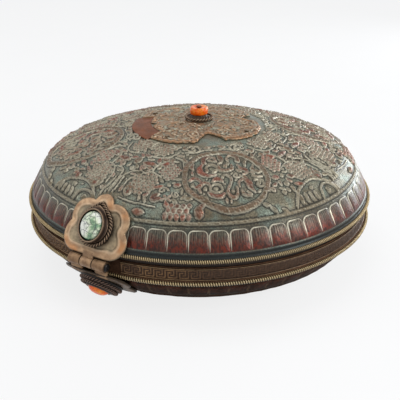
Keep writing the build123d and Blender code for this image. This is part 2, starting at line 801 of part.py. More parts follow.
def leaf_rivets(plane, shell):
    """Rivets that end flush under the setting, with their heads inside the box."""
    with BuildPart() as rivets:
        extrude(rivet_holes(plane), amount=-leaf_lift - sheet)
        with BuildSketch(plane.offset(-leaf_lift - sheet)):
            with Locations((0, setting_centre)):
                with GridLocations(rivet_spread, rivet_pitch, 2, 2):
                    Circle(rivet_head_radius)
        extrude(amount=-rivet_head_height - leaf_thickness)
        add(shell, mode=Mode.SUBTRACT)
    return rivets


hinge_upper_rivets = leaf_rivets(upper_plane, plain_lid.part)
hinge_lower_rivets = leaf_rivets(lower_plane, base_shell.part)

# Settings: roped rings round a collar that holds the stone. Their feet are let down to the leaf's curve.


def teardrop(plane, inset):
    """A circle drawn out to a rounded point, up the leaf."""
    radius = teardrop_radius - inset
    half_point = asin(teardrop_radius / teardrop_tip)
    touch = (radius * cos(half_point), setting_centre + radius * sin(half_point))
    with BuildSketch(plane) as outline:
        with BuildLine():
            ThreePointArc(touch, (0, setting_centre - radius), (-touch[0], touch[1]))
            Polyline((-touch[0], touch[1]), (0, setting_centre + radius / sin(half_point)), touch)
        make_face()
        fillet(outline.vertices().sort_by(Axis.Y)[-1], teardrop_round)
    return outline.sketch


def oval(plane, width, length):
    with BuildSketch(plane) as outline:
        with Locations((0, setting_centre)):
            Ellipse(width / 2, length / 2)
    return outline.sketch


def disc(plane, radius):
    with BuildSketch(plane) as outline:
        with Locations((0, setting_centre)):
            Circle(radius)
    return outline.sketch


def rope_ring(plane, outer, inner, height, leaf):
    """A ring that is rounded on top."""
    with BuildPart() as ring:
        extrude(outer, amount=height)
        fillet(ring.faces().sort_by(Axis(plane.origin, plane.z_dir))[-1].edges(), ring_wire / 3)
        extrude(inner, amount=height, mode=Mode.SUBTRACT)
        add(leaf.part, mode=Mode.SUBTRACT)
    return ring


def collar(plane, floor, width, length, leaf, rivets):
    """A terrace with a tapered wall on it, and a pocket for the stone."""
    wall_foot = plane.offset(terrace_height)
    wall_top = plane.offset(terrace_height + collar_height)
    with BuildPart() as holder:
        extrude(floor, amount=setting_root + terrace_height)
        loft(
            [
                oval(wall_foot, width + 2 * collar_wall, length + 2 * collar_wall),
                oval(wall_top, width + 2 * collar_wall_top, length + 2 * collar_wall_top),
            ]
        )
        pocket = oval(plane.offset(terrace_height - stone_pocket), width, length)
        extrude(pocket, amount=stone_pocket + collar_height, mode=Mode.SUBTRACT)
        add(leaf.part, mode=Mode.SUBTRACT)
        add(rivets.part, mode=Mode.SUBTRACT)
    return holder


def cabochon(plane, width, length, height):
    """A polished stone: nearly straight at its girdle and domed above."""
    seat = terrace_height - stone_pocket
    with BuildPart() as stone:
        loft(
            [
                oval(plane.offset(seat + rise * height), spread * width, spread * length)
                for rise, spread in cabochon_shape
            ]
        )
    return stone


upper_root = upper_plane.offset(-setting_root)
lower_root = lower_plane.offset(-setting_root)
lower_terrace = lower_plane.offset(terrace_height)

turquoise_rope_ring = rope_ring(
    upper_plane,
    teardrop(upper_root, 0),
    teardrop(upper_root, ring_wire),
    setting_root + ring_wire,
    hinge_leaf_upper,
)
turquoise_collar = collar(
    upper_plane,
    teardrop(upper_root, ring_wire),
    turquoise_width,
    turquoise_length,
    hinge_leaf_upper,
    hinge_upper_rivets,
)
turquoise_stone = cabochon(upper_plane, turquoise_width, turquoise_length, turquoise_height)

coral_rope_ring = rope_ring(
    lower_plane,
    disc(lower_root, coral_ring_radius),
    disc(lower_root, coral_ring_radius - ring_wire),
    setting_root + terrace_height,
    hinge_leaf_lower,
)
coral_second_ring = rope_ring(
    lower_plane,
    disc(lower_terrace, coral_second_ring_radius),
    disc(lower_terrace, coral_second_ring_radius - ring_wire),
    ring_wire,
    hinge_leaf_lower,
)
coral_collar = collar(
    lower_plane,
    disc(lower_root, coral_ring_radius - ring_wire),
    coral_width,
    coral_width,
    hinge_leaf_lower,
    hinge_lower_rivets,
)
coral_stone = cabochon(lower_plane, coral_width, coral_width, coral_height)

# Catch: the same fitting on the other side, with a pin that draws out

catch_pin_start = knuckle_half + pin_end_gap
catch_pin_length = 2 * (hinge_half + pin_end_gap) + catch_knob_radius
with BuildPart() as catch_pin:
    with BuildSketch(Plane.YZ.offset(catch_pin_start)):
        with Locations((-pin_y, pin_z)):
            Circle(pin_radius)
    extrude(amount=catch_pin_length)
    with Locations((catch_pin_start + catch_pin_length, -pin_y, pin_z)):
        Sphere(catch_knob_radius)

pieces = {
    "lid_shell": lid_shell,
    "lid_rim_flange": lid_rim_flange,
    "lid_milled_wire": lid_milled_wire,
    "top_plaque": top_plaque,
    "plaque_patch": plaque_patch,
    "plaque_rivets": plaque_rivets,
    "finial_rope_ring": finial_rope_ring,
    "finial_cup": finial_cup,
    "finial_coral": finial_coral,
    "finial_washer": finial_washer,
    "finial_pin": finial_pin,
    "base_shell": base_shell,
    "inner_collar": inner_collar,
    "base_milled_wire": base_milled_wire,
    "meander_band": meander_band,
    "hinge_pin": hinge_pin,
    "catch_pin": catch_pin,
}
fittings = {
    "leaf_upper": hinge_leaf_upper,
    "leaf_lower": hinge_leaf_lower,
    "upper_rivets": hinge_upper_rivets,
    "lower_rivets": hinge_lower_rivets,
    "turquoise_rope_ring": turquoise_rope_ring,
    "turquoise_collar": turquoise_collar,
    "turquoise_stone": turquoise_stone,
    "coral_rope_ring": coral_rope_ring,
    "coral_second_ring": coral_second_ring,
    "coral_collar": coral_collar,
    "coral_stone": coral_stone,
}
for name, piece in fittings.items():
    pieces["hinge_" + name] = piece
    pieces["catch_" + name] = turned(piece)

for name, piece in pieces.items():
    piece.part.label = name
    export_step(piece.part, f"parts/{name}.step")
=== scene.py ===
"""The looks of a round copper box: chased relief, milled wires, roped settings, stones and finishes.

Lengths in this script are millimetres, turned into metres where a mesh is made.
The hinge is on the -Y side, the catch on the +Y side, and the lid's wire lies at height lid_wire_z.
"""
import math

import bpy
import numpy as np
from mathutils import Matrix, Vector


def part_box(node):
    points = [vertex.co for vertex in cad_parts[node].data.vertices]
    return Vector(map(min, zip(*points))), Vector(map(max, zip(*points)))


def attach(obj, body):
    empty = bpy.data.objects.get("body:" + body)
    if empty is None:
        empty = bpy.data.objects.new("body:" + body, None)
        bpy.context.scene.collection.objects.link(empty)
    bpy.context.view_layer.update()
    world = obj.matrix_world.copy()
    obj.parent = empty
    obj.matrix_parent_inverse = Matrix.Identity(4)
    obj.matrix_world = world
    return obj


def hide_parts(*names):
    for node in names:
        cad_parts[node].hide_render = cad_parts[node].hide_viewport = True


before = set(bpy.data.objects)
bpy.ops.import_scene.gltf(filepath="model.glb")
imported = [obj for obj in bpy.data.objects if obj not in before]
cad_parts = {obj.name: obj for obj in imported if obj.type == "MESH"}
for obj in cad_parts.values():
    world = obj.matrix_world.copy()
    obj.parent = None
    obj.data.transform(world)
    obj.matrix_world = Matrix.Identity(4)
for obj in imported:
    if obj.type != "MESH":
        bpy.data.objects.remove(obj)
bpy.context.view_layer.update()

MM = 0.001

# Rim and domes, as the construction has them
rim_radius = 120.0
wire_radius = 1.05
lid_wall_radius = rim_radius - wire_radius
lid_rim_wall = 2.05
lid_rim_drop = 1.3
sheet = 1.2
fit_clearance = 0.4
collar_radius = lid_wall_radius - lid_rim_wall - fit_clearance
upright_radius = collar_radius + 1.0
band_thickness = 1.1
band_height = 7.5
foot_radius = 36.0
finial_bore = 1.1
shell_bore = 1.05


def middle_height(node):
    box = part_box(node)
    return (box[0].z + box[1].z) / 2 / MM


lid_wire_z = middle_height("lid_milled_wire")
base_wire_z = middle_height("base_milled_wire")
band_bottom_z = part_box("meander_band")[0].z / MM

# Ornament of the lid
ornament_turn = -1.8  # degrees
medallion_circle = 80.0
medallion_first = 43.2  # degrees
medallion_ring = 25.2
medallion_ring_half = 1.75
ring_line_radius = 110.8
gadroon_count = 60
gadroon_top = 16.15  # height over the wire at which they start
gadroon_foot = 4.1  # height over the wire at which they end
texture_rise = 0.05  # forms higher than this count as raised


class Dome:
    """A dome's profile above its rim: a wide crown, a tight shoulder and a straight skirt."""

    def __init__(self, foot, skirt_slope, skirt_length, shoulder_radius, crown_slope):
        self.foot = foot
        self.skirt_slope = skirt = math.radians(skirt_slope)
        self.crown_slope = crown = math.radians(crown_slope)
        self.shoulder_radius = shoulder_radius
        skirt_top = (foot[0] - skirt_length * math.cos(skirt), foot[1] + skirt_length * math.sin(skirt))
        self.shoulder = (
            skirt_top[0] - shoulder_radius * math.sin(skirt),
            skirt_top[1] - shoulder_radius * math.cos(skirt),
        )
        self.crown_edge = self.shoulder[0] + shoulder_radius * math.sin(crown)
        self.crown_radius = self.crown_edge / math.sin(crown)
        edge_height = self.shoulder[1] + shoulder_radius * math.cos(crown)
        self.crown_centre = edge_height - self.crown_radius * math.cos(crown)

    def height(self, radius, lift=0.0):
        """Height over the wire of the surface that lies lift outside the dome."""
        radius = np.asarray(radius, float)
        crown_reach = self.crown_radius + lift
        reach = self.shoulder_radius + lift
        crown_edge = crown_reach * math.sin(self.crown_slope)
        skirt_edge = self.shoulder[0] + reach * math.sin(self.skirt_slope)
        skirt_height = self.shoulder[1] + reach * math.cos(self.skirt_slope)
        crown = self.crown_centre + np.sqrt(np.maximum(crown_reach**2 - radius**2, 0))
        over = reach**2 - (radius - self.shoulder[0]) ** 2
        shoulder = self.shoulder[1] + np.sqrt(np.maximum(over, 0))
        skirt = skirt_height - (radius - skirt_edge) * math.tan(self.skirt_slope)
        return np.where(radius < crown_edge, crown, np.where(radius < skirt_edge, shoulder, skirt))

    def slope(self, radius):
        """Angle of the surface from level."""
        crown = np.arcsin(np.clip(radius / self.crown_radius, 0, 1))
        shoulder = np.arcsin(np.clip((radius - self.shoulder[0]) / self.shoulder_radius, 0, 1))
        return np.where(radius < self.crown_edge, crown, np.minimum(shoulder, self.skirt_slope))


# Foot, skirt's slope and length, shoulder's radius, crown's slope at its edge
lid_dome = Dome((lid_wall_radius - 0.65, 3.6), 61.0, 16.2, 27.2, 20.05)
base_dome = Dome((lid_wall_radius, 1.25), 52.0, 13.9, 26.45, 14.1)


def smooth(low, high, value):
    share = np.clip((np.asarray(value, float) - low) / (high - low), 0, 1)
    return share * share * (3 - 2 * share)


def bell(value, middle, width):
    return np.exp(-(((value - middle) / width) ** 2))


def polar(radius, degrees):
    angle = math.radians(degrees)
    return (radius * math.cos(angle), radius * math.sin(angle))


def round_turn(count):
    """Even angles round a full turn, in radians."""
    return np.linspace(0, 2 * math.pi, count, endpoint=False)


def spun(radius, angle, z):
    """Points round the box's axis, from radius, angle in radians and height."""
    radius, angle, z = np.broadcast_arrays(radius, angle, z)
    return np.stack([radius * np.cos(angle), radius * np.sin(angle), z], -1)


# Meshes


def mesh_object(name, points, faces, values=None):
    """A mesh object from points in millimetres, with named values at its points for the finishes."""
    mesh = bpy.data.meshes.new(name)
    points = np.asarray(points, np.float32) * MM
    faces = np.asarray(faces, np.int32)
    sides = faces.shape[1]
    mesh.vertices.add(len(points))
    mesh.vertices.foreach_set("co", points.ravel())
    mesh.loops.add(faces.size)
    mesh.loops.foreach_set("vertex_index", faces.ravel())
    mesh.polygons.add(len(faces))
    mesh.polygons.foreach_set("loop_start", np.arange(0, faces.size, sides, dtype=np.int32))
    mesh.polygons.foreach_set("loop_total", np.full(len(faces), sides, np.int32))
    mesh.polygons.foreach_set("use_smooth", np.full(len(faces), True))
    mesh.update(calc_edges=True)
    for key, value in (values or {}).items():
        attribute = mesh.attributes.new(key, "FLOAT", "POINT")
        attribute.data.foreach_set("value", np.asarray(value, np.float32).ravel())
    mesh.validate()
    piece = bpy.data.objects.new(name, mesh)
    bpy.context.scene.collection.objects.link(piece)
    return piece


def grid(points, values, wrap_rows=True, wrap_columns=True):
    """Points, faces and values of a grid, row by row, closed along rows and columns or not."""
    rows, columns = points.shape[:2]
    row = np.arange(rows if wrap_rows else rows - 1)
    column = np.arange(columns if wrap_columns else columns - 1)
    row, column = np.meshgrid(row, column, indexing="ij")
    near, far = row * columns, (row + 1) % rows * columns
    beside = (column + 1) % columns
    corners = (near + column, far + column, far + beside, near + beside)
    return points.reshape(-1, 3), np.stack([corner.ravel() for corner in corners], 1), values


def cap(edge, values):
    """A fan that closes a row of points."""
    return grid(np.stack([edge, edge.mean(0) + 0 * edge]), values, wrap_rows=False)


def join(*parts):
    """One mesh's points, faces and values from several."""
    points, faces, offset = [], [], 0
    values = {key: [] for key in sorted({key for part in parts for key in part[2]})}
    for part_points, part_faces, part_values in parts:
        count = len(part_points)
        points.append(part_points)
        faces.append(part_faces + offset)
        for key, column in values.items():
            column.append(np.broadcast_to(np.ravel(part_values.get(key, 0.0)), count))
        offset += count
    return np.vstack(points), np.vstack(faces), {key: np.concatenate(values[key]) for key in values}


def dress(piece, material, body, node):
    """Gives a piece its finish and its body, and hides the node that it stands for."""
    piece.data.materials.clear()
    piece.data.materials.append(material)
    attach(piece, body)
    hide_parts(node)


def both_sides(piece, material, body, node):
    """Dresses a piece of the hinge and sets its twin at the catch, on the other side of the box."""
    twin = piece.copy()
    twin.data = piece.data.copy()
    twin.name = "catch_" + piece.name.removeprefix("hinge_")
    twin.data.transform(Matrix.Rotation(math.pi, 4, "Z"))
    bpy.context.scene.collection.objects.link(twin)
    dress(piece, material, body, "hinge_" + node)
    dress(twin, material, body, "catch_" + node)


# Relief, drawn in plan on a square grid


class Relief:
    """Chased ornament: how high it is raised, how far a point is from it, and its tone."""

    def __init__(self, half, pitch):
        self.half = half
        self.pitch = pitch
        self.count = int(round(2 * half / pitch)) + 1
        self.line = np.linspace(-half, half, self.count)
        self.raised = np.zeros((self.count, self.count), np.float32)
        self.clear = np.full((self.count, self.count), 50.0, np.float32)
        self.tone = np.zeros((self.count, self.count), np.float32)

    def window(self, points, margin):
        low = np.floor((points.min(0) - margin + self.half) / self.pitch).astype(int)
        high = np.ceil((points.max(0) + margin + self.half) / self.pitch).astype(int) + 1
        low = np.clip(low, 0, self.count)
        high = np.clip(high, 0, self.count)
        part = (slice(low[1], high[1]), slice(low[0], high[0]))
        x, y = np.meshgrid(self.line[part[1]], self.line[part[0]])
        return part, x, y

    def stroke(self, points, widths, height, tone):
        """A raised line through the points. Widths are half widths, one for all points or one each."""
        points = np.atleast_2d(np.asarray(points, float))
        widths = np.broadcast_to(np.asarray(widths, float), (len(points),))
        part, x, y = self.window(points, widths.max() + 2.0)
        if x.size == 0:
            return
        best = np.full(x.shape, 1e9)
        share = np.zeros(x.shape)
        last = len(points) - 1
        for index in range(max(last, 1)):
            start = points[index]
            run = points[min(index + 1, last)] - start
            length = max(float(run @ run), 1e-9)
            along = np.clip(((x - start[0]) * run[0] + (y - start[1]) * run[1]) / length, 0, 1)
            distance = np.hypot(x - start[0] - along * run[0], y - start[1] - along * run[1])
            width = widths[index] + along * (widths[min(index + 1, last)] - widths[index])
            edge = distance - width
            nearer = edge < best
            best = np.where(nearer, edge, best)
            rounded = np.clip(1 - (distance / np.maximum(width, 0.05)) ** 2, 0, 1)
            share = np.where(nearer, rounded, share)
        rise = height * share**0.5
        higher = (best < 0) & (rise > self.raised[part])
        self.raised[part] = np.where(higher, rise, self.raised[part])
        self.tone[part] = np.where(higher, tone, self.tone[part])
        self.clear[part] = np.minimum(self.clear[part], best)

    def ring(self, centre, radius, width, height, tone):
        angle = np.linspace(0, 2 * math.pi, max(int(360 * radius / 60), 8))
        points = np.stack([centre[0] + radius * np.cos(angle), centre[1] + radius * np.sin(angle)], 1)
        self.stroke(points, width, height, tone)

    def sample(self, x, y):
        """Raised height, clearance and tone at points in plan."""
        column = np.clip((x + self.half) / self.pitch, 0, self.count - 1.001)
        row = np.clip((y + self.half) / self.pitch, 0, self.count - 1.001)
        left, top = column.astype(int), row.astype(int)
        across, down = column - left, row - top
        found = []
        for layer in (self.raised, self.clear, self.tone):
            upper = layer[top, left] * (1 - across) + layer[top, left + 1] * across
            lower = layer[top + 1, left] * (1 - across) + layer[top + 1, left + 1] * across
            found.append(upper * (1 - down) + lower * down)
        return found


def smooth_path(points, steps=18):
    """Points along a rounded line through the given ones."""
    points = np.asarray(points, float)
    if len(points) < 3:
        share = np.linspace(0, 1, steps // 2)[:, None]
        return points[0] * (1 - share) + points[-1] * share
    ends = np.vstack([2 * points[0] - points[1], points, 2 * points[-1] - points[-2]])
    path = []
    each = max(steps // (len(points) - 1), 3)
    for index in range(len(points) - 1):
        before, start, finish, after = ends[index : index + 4]
        share = np.linspace(0, 1, each, endpoint=index == len(points) - 2)[:, None]
        square = (2 * before - 5 * start + 4 * finish - after) * share**2
        cube = (3 * start - before - 3 * finish + after) * share**3
        path.append(0.5 * (2 * start + (finish - before) * share + square + cube))
    return np.vstack(path)


class Place:
    """Draws in a small frame of its own: x across, y outward, mirrored or not."""

    def __init__(self, relief, origin, outward, mirror=1.0):
        angle = math.radians(outward)
        self.relief = relief
        self.origin = np.array(origin, float)
        self.out = np.array([math.cos(angle), math.sin(angle)])
        self.across = np.array([-math.sin(angle), math.cos(angle)]) * mirror

    def points(self, points):
        points = np.atleast_2d(np.asarray(points, float))
        return self.origin + points[:, :1] * self.across + points[:, 1:] * self.out

    def curve(self, points, widths, height, tone):
        """A smooth stroke through the points."""
        path = smooth_path(points)
        spread = np.interp(np.linspace(0, 1, len(path)), np.linspace(0, 1, len(widths)), widths)
        self.relief.stroke(self.points(path), spread, height, tone)

    def dot(self, centre, radius, height, tone):
        self.relief.stroke(self.points([centre]), radius, height, tone)

    def spiral(self, centre, radius, start, turns, hand, width, height, tone):
        """A curl that winds inward to a bud."""
        share = np.linspace(0, 1, 26)
        angle = np.radians(start) + hand * 2 * math.pi * turns * share
        reach = radius * (1 - 0.78 * share)
        path = np.stack([centre[0] + reach * np.cos(angle), centre[1] + reach * np.sin(angle)], 1)
        self.relief.stroke(self.points(path), width * (1 - 0.35 * share), height, tone)
        self.dot(path[-1], width * 1.35, height * 1.1, tone)

    def leaf(self, root, direction, length, width, bend, height, tone):
        """A pointed leaf that bends to one side."""
        share = np.linspace(0, 1, 12)
        angle = math.radians(direction) + math.radians(bend) * share
        step = length / (len(share) - 1)
        x = root[0] + np.concatenate([[0], np.cumsum(np.cos(angle[:-1]) * step)])
        y = root[1] + np.concatenate([[0], np.cumsum(np.sin(angle[:-1]) * step)])
        spread = width * np.sin(np.pi * np.clip(share * 0.92 + 0.06, 0, 1)) ** 0.8
        self.relief.stroke(self.points(np.stack([x, y], 1)), spread, height, tone)

    def berries(self, centre, wide, tall, pitch, height, tone, tilt):
        """A bunch of round berries, packed as a honeycomb."""
        tilt = math.radians(tilt)
        for row in range(-8, 9):
            for column in range(-8, 9):
                x = (column + 0.5 * (row % 2)) * pitch
                y = row * pitch * 0.866
                if (x / wide) ** 2 + (y / tall) ** 2 < 1:
                    turned_x = x * math.cos(tilt) - y * math.sin(tilt)
                    turned_y = x * math.sin(tilt) + y * math.cos(tilt)
                    middle = (centre[0] + turned_x, centre[1] + turned_y)
                    self.dot(middle, pitch * 0.46, height, tone)

    def blossom(self, centre, radius, petals, height, tone, start=0.0):
        """A round flower."""
        for petal in range(petals):
            angle = start + 360 * petal / petals
            x, y = polar(0.30 * radius, angle)
            root = (centre[0] + x, centre[1] + y)
            self.leaf(root, angle, radius * 0.75, radius * 0.27, 0, height, tone)
        self.dot(centre, radius * 0.24, height * 1.2, tone)


# Curls of a medallion: places with half widths, and the tone
medallion_curls = (
    # The half towards the crown
    (
        [(-10.4, -14.5, 1.6), (-9.6, -18.6, 1.7), (-6.2, -20.6, 1.1), (-3, -18.4, 0.8)]
        + [(-2.6, -15.2, 0.7)],
        0.85,
    ),
    ([(10.6, -14.2, 1.5), (10.4, -18.2, 1.6), (7.6, -20.4, 1.1), (4.6, -18, 0.8), (5, -15, 0.7)], 0.6),
    ([(0.4, -21.6, 1.3), (1, -18, 2), (0.4, -14.4, 1.1), (-2.2, -12.6, 0.7)], 0.65),
    ([(-17.2, -15, 0.7), (-18.4, -12, 1.4), (-18, -9.4, 0.7)], 0.7),
    ([(16.4, -15.6, 0.7), (14.6, -12.6, 1.3), (14.4, -9.8, 0.8)], 0.4),
    ([(-11.8, -13, 0.8), (-14.2, -9, 1.9), (-13.6, -4.6, 2.2), (-9.6, -2, 1.5), (-5.4, -2.6, 0.7)], 0.95),
    ([(-10.4, -9.6, 0.7), (-8, -12, 0.9), (-4.8, -10.6, 0.9), (-4.2, -7.2, 0.8), (-6.8, -5.2, 1)], 0.4),
    ([(-2.8, -9.8, 0.9), (-2.2, -6.2, 1.4), (1.4, -5, 1.2), (5.2, -6.4, 1.3), (6, -10, 0.8)], 0.6),
    ([(9.6, -10.6, 0.7), (10.4, -7, 1.1), (13.8, -5.4, 1.7), (13.6, -2.4, 1.3), (10.6, -1, 0.6)], 0.85),
    ([(19.6, -9.6, 0.7), (18.2, -6, 1.2), (20.4, -2.8, 1.4), (22.6, -3.6, 0.9)], 0.5),
    # The half towards the rim
    ([(-22.2, 0.2, 1.1), (-19.6, -1.4, 1.5), (-16.8, 0.8, 1.1), (-16.6, 4.6, 0.9), (-19.6, 6.6, 1.2)], 0.95),
    ([(-18.2, 11.4, 0.8), (-18.2, 6.6, 1.2), (-14.8, 3.4, 1.4), (-11.4, 5.4, 1.1), (-11.4, 9.2, 0.8)], 0.75),
    ([(-13.8, 11.8, 0.7), (-11.6, 15.2, 1.6), (-7.6, 16.4, 1.8), (-4.4, 14.2, 0.8)], 0.9),
    ([(-8.8, 3.4, 0.9), (-5.6, 1.6, 2.4), (-3.2, 4.2, 1)], 0.85),
    (
        [(0.2, -1.4, 0.7), (2.6, 1.4, 1), (1.6, 5.4, 0.9), (-0.6, 9.4, 0.9), (-2.2, 13.4, 1.1)]
        + [(-0.6, 17.2, 1.5), (2.6, 17.2, 1.5), (4.2, 13.6, 1), (4.4, 9.6, 0.8)],
        0.6,
    ),
    (
        [(6.2, 9.6, 0.7), (6.8, 5.2, 0.9), (10.2, 3.4, 1.1), (12.6, 6.2, 1.9), (12, 10.6, 1.9)]
        + [(13.6, 14.6, 0.8)],
        0.75,
    ),
    ([(16.2, 0.6, 0.6), (18.6, 2, 1.1), (21.6, 1.4, 0.7)], 0.5),
    ([(6.6, 13.2, 0.7), (7.6, 16.6, 1.2), (10.6, 17.6, 0.7)], 0.55),
    ([(-18.6, 14.6, 0.8), (-15.4, 17.4, 1)], 0.4),
)


def draw_medallion(relief, middle):
    """A round medallion: a ring with curling stems and leaves inside."""
    centre = polar(medallion_circle, middle)
    relief.ring(centre, medallion_ring, medallion_ring_half, 1.25, 0.5)
    place = Place(relief, centre, middle)
    high = 1.15
    for curl, tone in medallion_curls:
        curl = np.array(curl, float)
        place.curve(curl[:, :2], curl[:, 2], high, tone)
    eye = (-8.2, 9.8)
    relief.ring(place.points([eye])[0], 3.6, 0.75, high, 0.35)
    place.dot(eye, 1.5, high * 0.9, 0.2)
    for bud, radius, tone in (((1.8, -9.4), 1.5, 0.5), ((-14.8, 8.6), 1.5, 0.3), ((1.2, 13.0), 1.4, 0.45)):
        place.dot(bud, radius, high, tone)
    place.spiral((18.4, 8.2), 3.9, -120, 1.1, 1, 0.9, high, 0.35)


def spot(degrees, radius):
    """A point of the field, by its angle from a medallion and its radius on the lid."""
    return (radius * math.sin(math.radians(degrees)), radius * math.cos(math.radians(degrees)))


def spots(*pairs):
    return [spot(*pair) for pair in pairs]


# Leaves of the field: root, direction, length, half width, bend, height and tone
field_leaves = (
    ((40.6, 70.6), 150, 9.6, 2.1, -30, 1.2, 0.85),
    ((31.0, 70.4), 168, 5.6, 1.7, 62, 1.2, 0.9),
    ((44.6, 66.4), 60, 6.4, 1.5, -40, 1.0, 0.5),
    ((28.6, 63.8), 10, 4.4, 1.7, -70, 1.1, 0.65),
    ((20.6, 61.5), 80, 5.2, 1.4, 50, 1.0, 0.45),
    ((21.6, 88.6), 190, 5.0, 1.8, -30, 1.1, 0.95),
    ((25.6, 88.6), 10, 5.6, 1.6, -40, 1.1, 0.85),
    ((28.2, 99.0), 200, 5.8, 1.8, -30, 1.1, 0.8),
    ((8.6, 48.6), 170, 5.4, 1.4, 40, 1.0, 0.55),
    ((22.4, 47.4), 60, 5.0, 1.3, 60, 1.0, 0.5),
    ((25.0, 58.6), 130, 4.6, 1.3, 50, 1.0, 0.5),
    ((38.4, 47.6), 120, 4.6, 1.3, -50, 1.0, 0.45),
)
arch_leaves = (
    ((9.4, 103.4), 20, 4.6, 1.2, -20, 1.0, 0.25),
    ((11.4, 106.2), 12, 4.6, 1.1, 20, 1.0, 0.25),
    ((15.4, 107.6), 20, 4.4, 1.1, -20, 1.0, 0.25),
)
scale_leaves = (
    ((9.6, 101.6), 20, 4.6, 1.3, -30, 1.2, 0.8),
    ((28.4, 99.4), 152, 7.4, 1.8, 10, 1.2, 0.9),
    ((33.0, 107.0), 149, 7.4, 1.6, 0, 1.2, 0.75),
)


def draw_field(relief, middle, mirror):
    """Half of the foliage between two medallions: curling stems round bunches of berries."""
    place = Place(relief, (0, 0), middle, mirror)
    thin = [0.35, 0.5, 0.5, 0.35]
    for offset in (43.2, 44.6):
        stem = spots((offset - 0.4, 104), (offset, 96), (offset + 0.1, 86))
        place.curve(stem, [0.5, 0.5, 0.35], 0.9, 0.35)
    place.berries(spot(33.6, 88.5), 9.4, 8.0, 3.0, 1.1, 0.6, 25)
    place.berries(spot(25.0, 75.0), 7.2, 8.0, 2.9, 1.1, 0.95, -10)
    place.berries(spot(35.6, 54.0), 8.6, 6.6, 2.9, 1.05, 0.6, 15)
    for vine in (
        spots((44.6, 86), (42.5, 80), (38.6, 78.5), (35.2, 80.8)),
        spots((41.0, 94), (39.6, 84.6), (33.6, 78.2), (27.6, 81.0)),
        spots((33.0, 77.2), (32.4, 70.0), (27.6, 65.0), (22.4, 66.0)),
        spots((44.0, 60.8), (37.4, 63.2), (29.4, 61.6), (24.6, 54.6)),
    ):
        place.curve(vine, thin, 0.7, 0.3)
    place.curve(spots((20.6, 54.4), (13.6, 54.0), (8.4, 51.4), (2.6, 51.6)), thin, 0.8, 0.35)
    place.curve(spots((19.4, 70.0), (20.6, 64.4), (25.4, 60.6)), [0.4, 0.5, 0.4], 0.8, 0.3)
    place.spiral(spot(38.4, 75.2), 2.7, 40, 1.0, -1, 0.8, 1.1, 0.9)
    place.spiral(spot(37.6, 96.6), 4.0, 200, 1.1, 1, 1.0, 1.1, 0.45)
    place.spiral(spot(16.4, 50.6), 4.6, 160, 1.3, 1, 0.7, 1.0, 0.4)
    place.spiral(spot(43.6, 50.4), 4.4, 30, 1.3, -1, 0.7, 1.0, 0.4)
    place.dot(spot(26.4, 64.6), 2.1, 1.1, 0.5)
    place.dot(spot(23.6, 88.0), 1.2, 1.2, 0.1)
    place.dot(spot(37.6, 97.2), 1.6, 1.1, 0.9)
    draw_end = draw_arch if mirror > 0 else draw_scales
    draw_end(place)
    for root, *rest in field_leaves + (arch_leaves if mirror > 0 else scale_leaves):
        place.leaf(spot(*root), *rest)


def draw_arch(place):
    """A lotus arch on the ring line, with petals and a smaller arch inside."""
    arch = spots((20.8, 108.2), (24.4, 101.5), (32.2, 97.0), (39.0, 101.0), (42.4, 108.4))
    place.curve(arch, [0.8, 0.9, 0.9, 0.9, 0.7], 1.0, 0.3)
    inner = spots((33.0, 108.6), (34.2, 104.2), (37.4, 102.4), (40.2, 104.6), (41.2, 108.6))
    place.curve(inner, [0.6, 0.7, 0.7, 0.7, 0.6], 1.0, 0.3)
    place.dot(spot(37.2, 106.6), 1.9, 1.0, 0.3)
    for step in range(4):
        place.leaf(spot(23.6 + 2.4 * step, 108.2), 235 - 8 * step, 4.6, 1.2, 25, 1.2, 0.3)
    for degrees, radius, size in ((22.5, 94.5, 1.9), (18.8, 99.6, 1.5), (30.0, 102.0, 1.2)):
        place.dot(spot(degrees, radius), size, 1.2, 0.2)


def draw_scales(place):
    """A bed of round scales on the ring line, with a bud at each end."""
    for row in range(3):
        for step in range(5 - row % 2):
            place.dot(spot(14.9 + 1.85 * step + 0.9 * (row % 2), 107.4 - 2.7 * row), 1.62, 1.1, 0.92)
    place.dot(spot(11.8, 105.4), 3.0, 1.3, 0.7)
    place.blossom(spot(22.8, 98.8), 2.9, 5, 1.2, 0.9)
    place.curve(spots((40.0, 101.6), (33.0, 102.8), (26.0, 103.8)), [0.3, 0.5, 0.3], 0.7, 0.3)


def scatter(relief, low, high, count, seed, spare, draw):
    """Small forms wherever the ornament leaves room for them."""
    chance = np.random.default_rng(seed)
    for _ in range(count):
        root = polar(math.sqrt(chance.uniform(low**2, high**2)), chance.uniform(-180, 180))
        heading = chance.uniform(0, 360)
        size = chance.uniform(0.75, 1.25)
        bend = chance.uniform(-90, 90)
        tone = chance.uniform(0.1, 0.95)
        x, y = polar(1.5, heading)
        there = np.array([root, (root[0] + x, root[1] + y)])
        if relief.sample(there[:, 0], there[:, 1])[1].min() > spare:
            draw(Place(relief, root, heading), size, bend, tone)


def small_leaf(place, size, bend, tone):
    place.leaf((0, -1.8 * size), 90, 4.4 * size, 1.15 * size, bend, 0.85, tone)


def small_curl(place, size, bend, tone):
    place.spiral((0, 0), 2.4 * size, 90 + bend, 1.1, 1 if bend > 0 else -1, 0.55, 0.8, tone)


def small_seed(place, size, bend, tone):
    place.leaf((0, -0.8 * size), 90, 1.9 * size, 0.6 * size, bend / 3, 0.6, tone)


def lid_relief():
    relief = Relief(half=113.0, pitch=0.28)
    for quarter in range(4):
        middle = medallion_first + 90 * quarter
        draw_medallion(relief, middle)
        for mirror in (1.0, -1.0):
            draw_field(relief, middle, mirror)
    relief.ring((0, 0), ring_line_radius - 1.1, 0.55, 0.9, 0.2)
    scatter(relief, 47, 98, 2400, 7, 1.9, small_curl)
    scatter(relief, 46, 100, 4900, 8, 1.25, small_leaf)
    scatter(relief, 45, 101, 2600, 9, 0.85, small_seed)
    return relief


